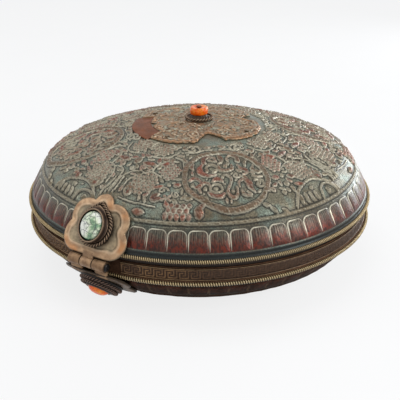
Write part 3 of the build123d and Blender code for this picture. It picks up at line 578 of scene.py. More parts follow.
def waves(x, y, z, size, seed, octaves):
    """Soft irregular noise between about -1 and 1, from sums of sine waves, the same in every run."""
    chance = np.random.default_rng(seed)
    total = np.zeros(np.broadcast(x, y, z).shape)
    weight = 1.0
    for _ in range(octaves):
        for _ in range(5):
            direction = chance.normal(size=3)
            direction /= np.linalg.norm(direction)
            phase = chance.uniform(0, 2 * math.pi)
            along = x * direction[0] + y * direction[1] + z * direction[2]
            total += weight * np.sin(along * 2 * math.pi / size + phase)
        weight *= 0.6
        size *= 0.47
    return total / 4.5


# Plates of the hinge and the catch, as in the construction
leaf_gap = 0.1
leaf_thickness = 1.4
leaf_lift = leaf_gap + leaf_thickness
setting_centre = 15.8
setting_middle = np.array([0, setting_centre])
leaf_foot = -1.2
lower_lobe = (12.6, 9.3)
lower_lobe_radius = 10.5
upper_lobe = (10.0, 21.0)
upper_lobe_radius = 11.1
lobe_notch = (20.2, 16.4)
top_notch = (6.8, 31.6)
top_shoulder = (4.6, 35.0)
leaf_tip = 36.9


class LeafFrame:
    """Where a plate lies: u along the pin, v up the plate, and its front follows the dome."""

    def __init__(self, dome, slope, start, upper):
        self.dome = dome
        self.side = 1.0 if upper else -1.0
        self.wire_z = lid_wire_z if upper else base_wire_z
        self.slope = angle = math.radians(slope)
        reach = dome.shoulder_radius + leaf_lift
        x, z = dome.shoulder[0] + reach * math.sin(angle), dome.shoulder[1] + reach * math.cos(angle)
        self.tangent = (x, z)
        zero = x + (z + start) / math.sin(angle) * math.cos(angle)
        self.origin = np.array([0, -zero, self.wire_z - self.side * start])
        self.along = np.array([self.side, 0, 0])
        self.up = np.array([0, math.cos(angle), self.side * math.sin(angle)])
        self.normal = np.array([0, -math.sin(angle), self.side * math.cos(angle)])

    def flat(self, u, v, lift):
        """A point over the plate's flat front."""
        u, v, lift = (part[..., None] for part in np.broadcast_arrays(u, v, lift))
        return self.origin + u * self.along + v * self.up + lift * self.normal

    def front_height(self, radius):
        """Height over the wire of the plate's front, as the sheet is bent."""
        tangent_radius, tangent_height = self.tangent
        bent = self.dome.height(radius, leaf_lift)
        straight = tangent_height - (radius - tangent_radius) * math.tan(self.slope)
        return np.where(radius > tangent_radius, straight, bent)

    def bent(self, u, v, rise):
        """A point at a height over the bent plate's front."""
        u, v, rise = np.broadcast_arrays(u, v, rise)
        low = np.full(u.shape, -16.0)
        high = np.full(u.shape, 3.0)
        for _ in range(34):
            middle = (low + high) / 2
            point = self.flat(u, v, middle)
            radius = np.hypot(point[..., 0], point[..., 1])
            outside = self.side * (point[..., 2] - self.wire_z) > self.front_height(radius)
            high = np.where(outside, middle, high)
            low = np.where(outside, low, middle)
        point = self.flat(u, v, (low + high) / 2)
        radius = np.hypot(point[..., 0], point[..., 1])
        slope = np.where(radius > self.tangent[0], self.slope, self.dome.slope(radius))
        outward = np.sin(slope)[..., None] * point[..., :2] / radius[..., None]
        normal = np.concatenate([outward, self.side * np.cos(slope)[..., None]], -1)
        return point + rise[..., None] * normal


upper_leaf = LeafFrame(lid_dome, slope=57.0, start=1.0, upper=True)
lower_leaf = LeafFrame(base_dome, slope=45.0, start=0.0, upper=False)


def arc_through(start, middle, finish, count):
    """Points along the arc through three points."""
    (x1, y1), (x2, y2), (x3, y3) = start, middle, finish
    turn = 2 * (x1 * (y2 - y3) + x2 * (y3 - y1) + x3 * (y1 - y2))
    size1, size2, size3 = x1 * x1 + y1 * y1, x2 * x2 + y2 * y2, x3 * x3 + y3 * y3
    centre_x = (size1 * (y2 - y3) + size2 * (y3 - y1) + size3 * (y1 - y2)) / turn
    centre_y = (size1 * (x3 - x2) + size2 * (x1 - x3) + size3 * (x2 - x1)) / turn
    radius = math.hypot(x1 - centre_x, y1 - centre_y)
    first, inner, last = (math.atan2(y - centre_y, x - centre_x) for x, y in (start, middle, finish))
    inner_turn = (inner - first) % (2 * math.pi)
    last_turn = (last - first) % (2 * math.pi)
    if inner_turn > last_turn:
        last_turn -= 2 * math.pi
    angle = first + np.linspace(0, last_turn, count, endpoint=False)
    return np.stack([centre_x + radius * np.cos(angle), centre_y + radius * np.sin(angle)], 1)


def leaf_outline():
    """The right half of a plate's outline, from its foot to its tip, then the left half."""

    def on_lobe(centre, radius, degrees):
        x, y = polar(radius, degrees)
        return (centre[0] + x, centre[1] + y)

    corner = (lower_lobe[0], leaf_foot)
    foot = np.linspace((0.0, leaf_foot), corner, 12, endpoint=False)
    lower = arc_through(corner, on_lobe(lower_lobe, lower_lobe_radius, -20), lobe_notch, 44)
    upper = arc_through(lobe_notch, on_lobe(upper_lobe, upper_lobe_radius, 40), top_notch, 40)
    point = arc_through(top_notch, top_shoulder, (0.0, leaf_tip), 14)
    right = np.vstack([foot, lower, upper, point])
    return np.vstack([right, [(0.0, leaf_tip)], right[1:][::-1] * np.array([-1, 1])])


leaf_shape = leaf_outline()


def outline_distance(points, outline):
    """Distance of points to a closed outline, negative inside it."""
    nearest = np.full(len(points), 1e9)
    inside = np.zeros(len(points), bool)
    for start, finish in zip(outline, np.roll(outline, -1, 0)):
        run = finish - start
        offset = points - start
        along = np.clip(offset @ run / max(run @ run, 1e-12), 0, 1)
        nearest = np.minimum(nearest, np.hypot(*(offset - along[:, None] * run).T))
        crosses = (start[1] > points[:, 1]) != (finish[1] > points[:, 1])
        rise = run[1] if abs(run[1]) > 1e-12 else 1e-12
        inside ^= crosses & (points[:, 0] < start[0] + (points[:, 1] - start[1]) / rise * run[0])
    return np.where(inside, -nearest, nearest)


def leaf_cover(leaf, x, y, z):
    """How much of the shell's relief stays clear of the plates: 0 under them, 1 away from them."""
    keep = np.ones(x.shape)
    for turn in (1.0, -1.0):
        near = (np.abs(x) < 30) & (turn * y < -60)
        points = np.stack([turn * x[near], turn * y[near], z[near]], -1) - leaf.origin
        flat = np.stack([points @ leaf.along, points @ leaf.up], -1)
        keep[near] = np.minimum(keep[near], smooth(0.6, 2.4, outline_distance(flat, leaf_shape)))
    return keep


def spared(height, keep):
    """Relief pressed flat under the plates."""
    return np.where(keep < 1, np.minimum(height, height * keep) - 0.05 * (1 - keep), height)


def wear_and_shading_of(height, strength):
    """How far each point of a polar grid stands out from those round it, from -1 to 1. The finishes paint
    rubbed wear and a highlight where it stands out, and shade where it is sunk.
    """
    reach = 2
    total = sum(np.roll(height, step, 1) for step in range(-reach, reach + 1)) / (2 * reach + 1)
    padded = np.pad(total, ((reach, reach), (0, 0)), mode="edge")
    total = sum(padded[step : step + len(height)] for step in range(2 * reach + 1)) / (2 * reach + 1)
    return np.clip((height - total) * strength, -1, 1)


def gadroons(azimuth, height, top, foot):
    """Panels with arched tops, by azimuth and height over the wire.

    Gives their bulge, the raised lip along their edge, stronger on the lit side and also painted pale as a
    highlight, the share of them and the share of the way down.
    """
    down = np.clip((top - height) / (top - foot), -0.2, 1.3)
    phase = (azimuth - ornament_turn) * gadroon_count / 360
    number = np.floor(phase)
    top_corner, foot_corner = 3.3, 1.3
    half_pitch = math.pi * ring_line_radius / gadroon_count
    half_width = half_pitch - 0.2
    length = (top - foot) * 1.14
    half_length = (length - 0.6) / 2
    across = np.abs(2 * (phase - number) - 1) * half_pitch
    along = down * length - 0.4 - half_length
    corner = np.where(along < 0, top_corner + 0.4 * np.sin(number * 2.7), foot_corner)
    over_side = across - half_width + corner
    over_end = np.abs(along) - half_length + corner
    past = np.hypot(np.maximum(over_side, 0), np.maximum(over_end, 0))
    edge = np.minimum(np.maximum(over_side, over_end), 0) + past - corner
    bulge = 1 - np.exp(-((np.maximum(-edge, 0) / 1.5) ** 1.3))
    lit_side = 0.84 + 0.16 * np.clip(5 * (0.5 - phase + number), -1, 1)
    lip = bell(edge, -0.36, 0.38) * lit_side * (1 - 0.55 * smooth(0.5, 1.0, down)) * (down < 0.93)
    return bulge, lip, smooth(0.45, 0.1, edge), down


def polar_grid(radii, columns):
    """Radius, azimuth in degrees, x and y over a grid of rings."""
    azimuth = np.linspace(-180, 180, columns, endpoint=False)
    radius, azimuth = np.meshgrid(radii, azimuth, indexing="ij")
    angle = np.radians(azimuth)
    return radius, azimuth, radius * np.cos(angle), radius * np.sin(angle)


def shell_points(dome, wire_z, side, radius, azimuth, relief):
    """Points of a dome's outside, raised by the relief along its normal."""
    slope = dome.slope(radius)
    z = wire_z + side * (dome.height(radius) + relief * np.cos(slope))
    return spun(radius + relief * np.sin(slope), np.radians(azimuth), z)


def shell_values(shared, full, bulged):
    """Values that both shells have, over all their rows."""
    lip, panels, down, fluted, radius = bulged
    return {
        **{key: full(value) for key, value in shared.items()},
        "flute": full(fluted * panels * (down < 0.98)),
        "divider": full(lip * fluted),
        "down": full(np.clip(down, 0, 1) * fluted),
        "cove": full(smooth(0.94, 1.05, down) * (radius > 112)),
    }


def build_lid():
    relief = lid_relief()
    runs = ((shell_bore, 28.0, 8), (28.0, 96.0, 168), (96.0, 108.0, 34))
    radii = [np.linspace(*run, endpoint=False) for run in runs]
    radii = np.concatenate([*radii, np.linspace(108.0, lid_dome.foot[0], 52)])
    radius, azimuth, x, y = polar_grid(radii, 1440)
    over = lid_dome.height(radius)
    drift = 1 - smooth(104, 109, radius)
    shift_x, shift_y = (
        0.7 * waves(x, y, 0, 15, seed, 1) + 0.22 * waves(x, y, 0, 3.6, seed + 1, 1) for seed in (51, 53)
    )
    raised, clear, tone = relief.sample(x + drift * shift_x, y + drift * shift_y)

    # The chased field: its ground lies below the forms and deepest in the groove round them
    ground_depth, ground_rise, groove_depth = 0.36, 0.17, 0.26
    dash_pitch = 1.25
    plaque_edge = quatrefoil_radius(azimuth)
    open_field = smooth(0.2, 1.4, radius - plaque_edge) * smooth(44.5, 47.0, radius)
    field = open_field * (1 - smooth(110.9, 111.1, radius))
    ground = waves(x, y, over, 2.1, 5, 2)
    dashes = np.sin(radius * 2 * math.pi / dash_pitch + 1.6 * waves(x, y, over, 6, 6, 2))
    ground = 0.6 * ground + 0.5 * dashes * smooth(-0.2, 0.5, np.sin(azimuth * 5.2 + 3 * ground))
    groove = bell(np.maximum(clear, 0), 0, 0.75) * (raised < texture_rise) * field
    forms = raised * (1.15 + 0.35 * waves(x, y, over, 3.2, 12, 2))
    height = field * (-ground_depth + ground_rise * ground - groove_depth * groove)
    height += np.where(raised > 0.02, forms + 0.04, 0) * open_field

    # The gadroons, with fine lines hatched down them
    hatch_lines = 9
    panel_rise, panel_sink, lip_rise, line_rise = 0.95, 0.25, 0.45, 0.045
    bulge, lip, panels, down = gadroons(azimuth, over, gadroon_top, gadroon_foot)
    fluted = smooth(110.95, 111.1, radius)
    fine_lines = gadroon_count / 360 * 2 * math.pi * hatch_lines
    hatching = np.sin(azimuth * fine_lines + 2.0 * waves(x, y, over, 9, 8, 1))
    lined = line_rise * hatching * (down > 0.05) * (down < 0.9) * (bulge > 0.3)
    panel = panel_rise * bulge + lined - panel_sink + 0.06 * ground * (1 - panels) + lip_rise * lip
    height = height + fluted * panel * (1 - smooth(0.97, 1.02, down))

    # Dents, and the places under the plates and the plaque
    dent_depth, plaque_margin = 0.22, 0.3
    dent = dent_depth * waves(x, y, over, 26, 3, 2) * smooth(30, 60, radius) * (1 - smooth(112, 117, radius))
    keep = leaf_cover(upper_leaf, x, y, lid_wire_z + over) * open_field
    height = spared(height, keep) + dent * keep * 0.7
    height = np.where(radius < plaque_edge + plaque_margin, np.minimum(height, -0.02), height)
    outer = shell_points(lid_dome, lid_wire_z, 1, radius, azimuth, height)

    # The cove over the wire, the folded wall and the inside
    wall_inside = lid_wall_radius - lid_rim_wall
    cove = [(118.28, 2.9), (118.22, 2.2), (118.35, 1.5), (lid_wall_radius, wire_radius)]
    wall_top = 2.0
    wall = [(lid_wall_radius, -lid_rim_drop), (wall_inside, -lid_rim_drop), (wall_inside, wall_top)]
    inner_radii = (114.2, 111.4, 107.0, 96.0, 80.0, 60.0, 40.0, 20.0, 8.0, shell_bore)
    inner = [(reach, float(lid_dome.height(reach, -sheet))) for reach in inner_radii]
    angle = np.radians(azimuth[0])
    rows = [spun(reach, angle, lid_wire_z + rise) for reach, rise in cove + wall + inner]
    pad = np.zeros((len(rows), azimuth.shape[1]))
    cove_rows = slice(len(radii), len(radii) + len(cove))
    wall_rows = slice(cove_rows.stop, cove_rows.stop + 2)

    def full(value, fill=0.0):
        return np.concatenate([value, pad + fill])

    form = smooth(0.2, -0.15, clear) * field
    # Edges of the forms, painted pale as rubbed wear and a highlight
    edge = bell(clear, -0.10, 0.22) * field * (1 - 0.65 * smooth(107.6, 108.2, radius))
    # Painted shade between the gadroons' arched tops
    spandrel = fluted * smooth(0.15, 0.5, 1 - panels) * (down < 1) * 0.8
    streak = np.clip(hatching, 0, 1) * smooth(0.04, 0.12, down) * (1 - smooth(0.3, 0.75, down))
    shared = {
        "raised": form,
        "tone": tone * form,
        "edge": edge * keep,
        "groove": np.clip((groove + spandrel) * keep, 0, 1),
        "wear": wear_and_shading_of(height, 2.6) * keep,
        "streak": streak * fluted * panels,
    }
    values = shell_values(shared, full, (lip, panels, down, fluted, radius))
    values["inside"] = full(0 * radius, 1.0)
    values["inside"][cove_rows] = 0.0
    values["inside"][wall_rows] = 0.2
    values["cove"][cove_rows] = 1.0
    # The folded wall under the wire is painted dark as the shadow there
    values["groove"][wall_rows] = 1.0
    return mesh_object("lid_chased_shell", *grid(np.concatenate([outer, rows]), values))


def build_base():
    inner_radii = np.linspace(foot_radius, 100, 60, endpoint=False)
    radii = np.concatenate([inner_radii, np.linspace(100, lid_wall_radius, 66)])
    radius, azimuth, x, y = polar_grid(radii, 1080)
    over = base_dome.height(radius)
    bulge, lip, panels, down = gadroons(azimuth, over, top=14.5, foot=3.4)
    fluted = smooth(109.5, 110.2, radius)
    ring_lines = ((1.0, 107.6, 0.5), (0.7, 105.8, 0.4), (0.8, 44.0, 0.7), (0.6, 47.0, 0.5))
    lines = sum(strength * bell(radius, middle, width) for strength, middle, width in ring_lines)
    hammer = np.abs(waves(x, y, over, 13, 21, 1)) * smooth(40, 50, radius)
    height = fluted * (0.6 * bulge + 0.3 * lip - 0.2) + 0.6 * lines - 0.28 * hammer * (1 - fluted)
    height *= smooth(foot_radius, foot_radius + 2, radius) * (1 - smooth(118.0, 118.8, radius))
    height = spared(height, leaf_cover(lower_leaf, x, y, base_wire_z - over))
    outer = shell_points(base_dome, base_wire_z, -1, radius, azimuth, height)

    ledge_drop = 5.1
    ledge = lid_wire_z - ledge_drop
    shelf = base_wire_z + wire_radius
    rows = [(lid_wall_radius, shelf), (upright_radius, shelf), (upright_radius, ledge)]
    rows += [(collar_radius, ledge), (collar_radius, base_wire_z + 0.5)]
    for reach in (112.0, 108.0, 100.0, 88.0, 70.0, 50.0, foot_radius):
        rows.append((reach, base_wire_z - float(base_dome.height(reach, -sheet))))
    rows += [(reach, sheet) for reach in (20.0, 6.0, 0.6)]
    angle = np.radians(azimuth[0])
    under = [spun(reach, angle, 0.0) for reach in (0.6, 6.0, 20.0, 33.0)]
    rows = [spun(reach, angle, z) for reach, z in rows]
    under_pad, pad = np.zeros((len(under), len(angle))), np.zeros((len(rows), len(angle)))

    def full(value, fill=0.0):
        return np.concatenate([under_pad, value, pad + fill])

    shared = {"raised": np.clip(lines, 0, 1), "wear": wear_and_shading_of(height, 3.2)}
    shared.update({key: 0 * radius for key in ("tone", "edge", "groove", "streak")})
    values = shell_values(shared, full, (lip, panels, down, fluted, radius))
    values["inside"] = full(0 * radius, 1.0)
    return mesh_object("base_chased_shell", *grid(np.concatenate([under, outer, rows]), values))


def build_milled_wire(name, wire_z, cuts):
    """A round wire with a slanting cut all along it, seated on the rim."""
    milled_radius = 1.25
    points_per_cut = 7
    angle, turn = np.meshgrid(round_turn(cuts * points_per_cut), round_turn(14))
    rib = np.sin(angle * cuts + 0.9 * turn)
    chance = np.random.default_rng(cuts)
    uneven = chance.normal(0, 0.03, cuts)[(angle * cuts / (2 * math.pi)).astype(int) % cuts]
    reach = milled_radius * (0.82 + 0.18 * np.clip(rib * 1.7, -1, 1)) + uneven * (rib > 0)
    reach = np.minimum(reach, milled_radius)
    radius = rim_radius + wire_radius - milled_radius + reach * np.cos(turn)
    points = spun(radius, angle, wire_z + reach * np.sin(turn))
    # The ribs carry a painted highlight on their tops and painted shade in the cuts between them
    return mesh_object(name, *grid(points, {"wear": rib}))


key_pattern = (
    "#######.",
    "#.....#.",
    "#.###.#.",
    "#.#...#.",
    "#.#.###.",
    "#.#.....",
    "#.######",
)


def build_band():
    """The band of keys, in two lengths that stop short of the hinge and the catch."""
    unit_cells = len(key_pattern[0])
    units = 50
    total = units * unit_cells
    face_radius = 118.05
    half_notch = 18.0
    rail = 0.55
    soften = 0.07
    rail_rise, key_rise, worn_rise = 0.5, 0.45, 0.25
    back = upright_radius + 0.05
    gap = math.degrees(math.asin(half_notch / (back + band_thickness)))
    top = band_bottom_z + band_height
    key_foot = band_bottom_z + rail + 0.45
    cell = (top - rail - 0.35 - key_foot) / len(key_pattern)
    edges = [band_bottom_z, band_bottom_z + rail]
    edges += [key_foot + cell * step for step in range(len(key_pattern) + 1)]
    edges += [top - rail, top]
    rows_z = np.ravel([(start + soften, finish - soften) for start, finish in zip(edges, edges[1:])])
    rows_z[0], rows_z[-1] = band_bottom_z, top
    rows_z = rows_z[:, None]
    share = np.stack([np.arange(total) + 0.12, np.arange(total) + 0.88], 1).ravel() / total
    share = np.concatenate([[0], share, [1]])
    cells = np.concatenate([[0], np.repeat(np.arange(total), 2), [total - 1]]) % unit_cells
    keys = np.array([[mark == "#" for mark in line] for line in key_pattern])[::-1, cells]
    worn_noise = waves(np.arange(len(share)) * 0.35, 0.0, 0.0, 60, 31, 2)
    parts = []
    for start in (-90 + gap, 90 + gap):
        azimuth = start + (180 - 2 * gap) * share
        worn = 0.3 + 0 * azimuth
        if start < 0:
            worn = smooth(-66, -54, azimuth) * (1 - smooth(60, 90, azimuth))
        strength = np.clip(1 - 0.72 * worn + 0.25 * worn_noise, 0.12, 1)
        marks = key_rise * keys * strength + worn_rise * (1 - strength)
        rail_row, low_row = np.full((1, len(share)), rail_rise), np.zeros((1, len(share)))
        relief = np.concatenate([rail_row, low_row, marks, low_row, rail_row]).repeat(2, 0)
        relief += 0.03 * waves(azimuth[None] * 2, rows_z, 0.0, 5, 33, 2)
        angle = np.radians(azimuth)
        behind = np.stack([spun(back, angle, top), spun(back, angle, band_bottom_z)])
        points = np.concatenate([spun(face_radius + relief, angle, rows_z), behind])
        raised = np.concatenate([relief / rail_rise, np.zeros((2, len(share)))])
        values = {"raised": raised, "dull": np.broadcast_to(worn, raised.shape)}
        parts.append(grid(points, values, wrap_columns=False))
        parts += [cap(points[:, column], {"raised": 0.2, "dull": 0.2}) for column in (0, -1)]
    return mesh_object("meander_band_chased", *join(*parts))


# Plaque

patch_middle = -134.0 + ornament_turn  # degrees
patch_half = 31.0  # degrees
notch_radius = 33.5


def quatrefoil_radius(azimuth):
    """Reach of the plaque's outline at each azimuth."""
    half_lobe, lobe_end, lobe, notch, flank, flank_angle = 32.4, 41.3, 45.5, 29.5, 34.6, 36.5
    path = []
    for middle in (0, 90, 180, 270):
        finish = polar(lobe_end, middle + half_lobe)
        hollow = polar(notch, middle + 45)
        next_lobe = polar(lobe_end, middle + 90 - half_lobe)
        path.append(arc_through(polar(lobe_end, middle - half_lobe), polar(lobe, middle), finish, 40))
        path.append(arc_through(finish, polar(flank, middle + flank_angle), hollow, 20))
        path.append(arc_through(hollow, polar(flank, middle + 90 - flank_angle), next_lobe, 20))
    path = np.vstack(path)
    angle = np.degrees(np.arctan2(path[:, 1], path[:, 0]))
    order = np.argsort(angle)
    reach = np.hypot(path[:, 0], path[:, 1])[order]
    return np.interp((azimuth - ornament_turn + 180) % 360 - 180, angle[order], reach, period=360)


def draw_plaque(relief):
    """A flower on each lobe, curling stems round them and small leaves between."""
    chance = np.random.default_rng(12)
    for quarter in range(4):
        middle = 90 * quarter + ornament_turn
        Place(relief, (0, 0), middle).blossom((0.0, 27.0), 7.2, 6, 0.9, 0.6, 12)
        for mirror in (1.0, -1.0):
            side = Place(relief, (0, 0), middle, mirror)
            stem = [(3.0, 14.0), (8.6, 16.0), (11.6, 21.0), (11.0, 26.6)]
            side.curve(stem, [0.7, 1.0, 0.9, 0.6], 0.8, 0.4)
            side.spiral((14.2, 27.4), 4.6, 220, 1.3, -1, 0.9, 0.85, 0.5)
            side.leaf((15.0, 33.4), 120, 8.0, 1.8, 40, 0.9, 0.8)
            side.leaf((7.6, 34.0), 60, 7.2, 1.7, 50, 0.85, 0.5)
            side.leaf((4.6, 18.4), 110, 5.6, 1.5, -40, 0.8, 0.7)
            border = [(3.0, 40.6), (9.6, 39.6), (16.0, 36.8), (20.6, 31.8)]
            side.curve(border, [0.7, 1.0, 1.1, 0.8], 0.8, 0.5)
    for _ in range(240):
        root = polar(math.sqrt(chance.uniform(12**2, 43**2)), chance.uniform(0, 360))
        place = Place(relief, root, chance.uniform(0, 360))
        length = chance.uniform(1.8, 4.6)
        width = chance.uniform(0.45, 1.1)
        bend = chance.uniform(-90, 90)
        place.leaf((0, 0), 90, length, width, bend, chance.uniform(0.4, 1.0), chance.uniform(0, 1))
    relief.ring((0, 0), 11.0, 0.7, 0.6, 0.4)


def build_plaque():
    relief = Relief(half=47.0, pitch=0.22)
    draw_plaque(relief)
    ends = [patch_middle + side * patch_half + step for side in (-1, 1) for step in (-0.02, 0.02)]
    azimuth = np.sort(np.concatenate([np.linspace(-180, 180, 620, endpoint=False), ends]))
    angle = np.radians(azimuth)
    in_patch = np.abs(azimuth - patch_middle) < patch_half
    reach = quatrefoil_radius(azimuth)
    reach = np.where(in_patch, np.minimum(reach, notch_radius), reach)
    torn = waves(reach * np.cos(angle), reach * np.sin(angle), 0, 5.0, 23, 3)
    reach = np.where(in_patch, reach, reach - 0.55 - 0.55 * torn)
    share = np.concatenate([[finial_bore / 45], np.linspace(0.06, 0.985, 96)])
    radius = share[:, None] * reach
    x, y = radius * np.cos(angle), radius * np.sin(angle)
    raised, clear, tone = relief.sample(x, y)
    edge = reach - radius
    roll = bell(edge, 1.3, 0.9) * (0.5 + 0.45 * waves(x, y, 0, 14, 9, 1))
    roll = np.where(in_patch, 0.25 * roll, roll)
    lumps = waves(x, y, 0, 5.0, 17, 3)
    crumple = waves(x, y, 0, 15, 19, 2)
    height = 0.95 * raised + 0.95 * roll + 0.20 * lumps + 0.34 * crumple
    height = (height - 0.25 * bell(np.maximum(clear, 0), 0, 0.6)) * smooth(10.5, 13.0, radius)
    front = spun(radius, angle, lid_wire_z + lid_dome.height(radius) + 1.0 + height)
    below = [(reach, 0.75), (reach, 0.05), (0.5 * reach, 0.02), (finial_bore + 0 * reach, 0.0)]
    rows = [spun(back, angle, lid_wire_z + lid_dome.height(back) + lift) for back, lift in below]
    pad = np.zeros((len(rows), len(azimuth)))
    values = {
        "wear": wear_and_shading_of(height, 3.0),
        "tone": tone * (raised > texture_rise),
        "rim": 1 - smooth(1.6, 4.0, edge + 1.2 * crumple),
    }
    values = {key: np.concatenate([value, pad]) for key, value in values.items()}
    return mesh_object("top_plaque_chased", *grid(np.concatenate([front, rows]), values))


def build_patch():
    """A smooth piece let into the plaque's notch."""
    azimuth = patch_middle + np.linspace(-30.8, 30.8, 90)
    radius, angle = np.meshgrid(np.linspace(33.75, 47.0, 26), np.radians(azimuth), indexing="ij")
    corner = 1.0 - np.exp(-(np.minimum(radius - 33.2, 47.5 - radius) / 0.7))
    height = 0.25 + 0.42 * corner
    height += 0.10 * waves(radius * np.cos(angle), radius * np.sin(angle), 0, 11, 23, 2)
    crown = lid_wire_z + lid_dome.height(radius)
    under = spun(radius, angle, crown + 0.03)[[-1, 0]]
    points = np.concatenate([spun(radius, angle, crown + height), under])
    ends = [cap(points[:, column], {"wear": 0.0}) for column in (0, -1)]
    return mesh_object("plaque_patch_sheet", *join(grid(points, {"wear": 0.0}, wrap_columns=False), *ends))


# Plates, their necks and knuckles

knuckle_radius = 3.4
knuckle_gap = 0.05
pin_drop = 7.0
pin_y = -(rim_radius + wire_radius + knuckle_gap + knuckle_radius)
pin_z = lid_wire_z - pin_drop
knuckle_length = 9.0
knuckle_side_gap = 0.15
pin_bore = 1.55
neck_width = 7.8


def resampled(path, count):
    """Points at even distances along a closed path."""
    path = np.vstack([path, path[:1]])
    run = np.concatenate([[0], np.cumsum(np.hypot(*np.diff(path, axis=0).T))])
    where = np.linspace(0, run[-1], count, endpoint=False)
    return np.stack([np.interp(where, run, path[:, 0]), np.interp(where, run, path[:, 1])], 1)


def leaf_sheet(leaf, seed):
    """The plate itself: a raised border, a sunk field and the bend over the dome."""
    outline = resampled(leaf_shape, 300)
    share = np.concatenate([np.linspace(0.02, 0.5, 14, endpoint=False), np.linspace(0.5, 0.965, 40)])
    flat = setting_middle + share[:, None, None] * (outline - setting_middle)
    u, v = flat[..., 0], flat[..., 1]
    edge = -outline_distance(flat.reshape(-1, 2), leaf_shape).reshape(u.shape)
    wander = edge + 0.5 * waves(u, v, 0, 9, seed, 1)
    border = 1 - smooth(4.0, 5.8, wander)
    lip = bell(wander, 4.6, 0.8)
    crease = bell(wander, 6.0, 0.45) * (0.25 + 0.75 * smooth(2, 9, u)) * (v > 3)
    height = (0.30 * border + 0.14 * lip - 0.14 * crease) * smooth(1.0, 4.0, v) - 0.18
    height += 0.09 * waves(u, v, 0, 6, seed + 1, 3) - 0.5 * (1 - smooth(0.0, 1.1, edge))
    height += 0.06 * np.abs(waves(u, v, 0, 3.0, seed + 2, 2))
    back = [(1, -0.62), (1, -1.05)] + [(reach, -leaf_thickness) for reach in (0.985, 0.5, 0.02)]
    offset = outline - setting_middle
    rows = [leaf.bent(*(setting_middle + reach * offset).T, lift) for reach, lift in back]
    pad = np.zeros((len(rows), len(outline)))
    values = {
        # Painted shade round the setting's foot, and on the plate's back
        "soot": 0.5 * (1 - smooth(13.5, 16, np.hypot(u, v - setting_centre))),
        "border": border,
        "wear": np.clip(0.5 * border + 0.7 * lip - crease, -1, 1),
        "crease": crease,
        "bright": 0 * u,
    }
    values = {key: np.concatenate([value, pad + 0.7 * (key == "soot")]) for key, value in values.items()}
    return grid(np.concatenate([leaf.bent(u, v, height), rows]), values)


def along_pin(steps, count, side=1.0, shape=None):
    """Rings of points round a pin, from places along it and radii."""
    turn = round_turn(count)
    rows = []
    for along, reach in steps:
        around = reach if shape is None else shape(reach, along, turn)
        x = np.full(count, along)
        rows.append(np.stack([x, side * pin_y + around * np.cos(turn), pin_z + around * np.sin(turn)], -1))
    return np.stack(rows)


def knuckle(start, length, seed):
    """A rolled eye round the pin, with softened edges."""
    steps = [(0.0, 0.45), (0.12, 0.15), (0.45, 0.02), (length / 2, 0.06)]
    steps += [(length - along, inset) for along, inset in steps[2::-1]]
    steps = [(start + along, knuckle_radius - inset) for along, inset in steps]
    steps += [(start + along, pin_bore) for along in (length, length / 2, 0.0)]
    chance = np.random.default_rng(seed)

    def wobbly(reach, along, turn):
        wobble = 0.04 * np.sin(3 * turn + chance.uniform(0, 6)) * (reach > pin_bore + 0.1)
        return np.minimum(reach + wobble - 0.02, knuckle_radius)

    points = along_pin(steps, 44, 1.0, wobbly)
    # Painted shade on the knuckle's ends and in its bore
    soot = np.zeros(points.shape[:2])
    soot[:2] = 0.9
    soot[5:] = 0.9
    return grid(points, {"soot": soot, "border": 0.7, "bright": 1.0})


def neck(leaf, start, width):
    """The strip from a plate's foot to its knuckle."""
    foot = leaf_foot + 2.0
    half = leaf_thickness / 2
    low_z = pin_z + 1.8 * leaf.side
    top, under = leaf.flat(0.0, foot, 0.0), leaf.flat(0.0, foot, -leaf_thickness)
    low_front, low_back = np.array([0, pin_y - half, low_z]), np.array([0, pin_y + half, low_z])
    edge = 0.05
    bevel = 0.5
    across = [start + edge, start + bevel, start + width / 2, start + width - bevel, start + width - edge]
    rows = []
    for share in np.linspace(0, 1, 8):
        front = top * (1 - share) + low_front * share - np.array([0, 0.35 * math.sin(math.pi * share), 0])
        back = under * (1 - share) + low_back * share
        row = [(x, front[1] + (0.3 if x in (across[0], across[-1]) else 0.0), front[2]) for x in across]
        rows.append(row + [(x, back[1], back[2]) for x in across[::-1]])
    points = np.array(rows)
    strip = grid(points, {"soot": 0.15, "border": 0.7, "bright": 1.0}, wrap_rows=False)
    return join(strip, *(cap(points[row], {"bright": 1.0}) for row in (0, -1)))


def build_leaf(name, leaf, seed):
    half = knuckle_length / 2
    gap = knuckle_side_gap
    parts = [leaf_sheet(leaf, seed)]
    if leaf.side > 0:
        parts.append(knuckle(-half + gap, knuckle_length - 2 * gap, seed))
        parts.append(neck(leaf, -neck_width / 2, neck_width))
    else:
        for start in (half + gap, -half - knuckle_length):
            parts.append(knuckle(start, knuckle_length - gap, seed))
            parts.append(neck(leaf, start, knuckle_length - gap))
    return mesh_object(name, *join(*parts))


def build_hinge_pin():
    """The hinge's pin, with its ends hammered over."""
    half = 1.5 * knuckle_length
    end = ((0, 1.5), (0.02, 2.3), (0.35, 2.45), (0.7, 2.1), (1, 1.2), (1, 0.02))
    end = [(half + along, reach) for along, reach in end]

    def hammered(reach, along, turn):
        return np.minimum(reach * (1 + 0.03 * np.sin(2 * turn + along) * (reach > 1.6)), 2.5)

    points = along_pin([(-along, reach) for along, reach in end[::-1]] + end, 32, 1.0, hammered)
    return mesh_object("hinge_pin_hammered", *grid(points, {"wear": np.zeros(points.shape[:2])}))


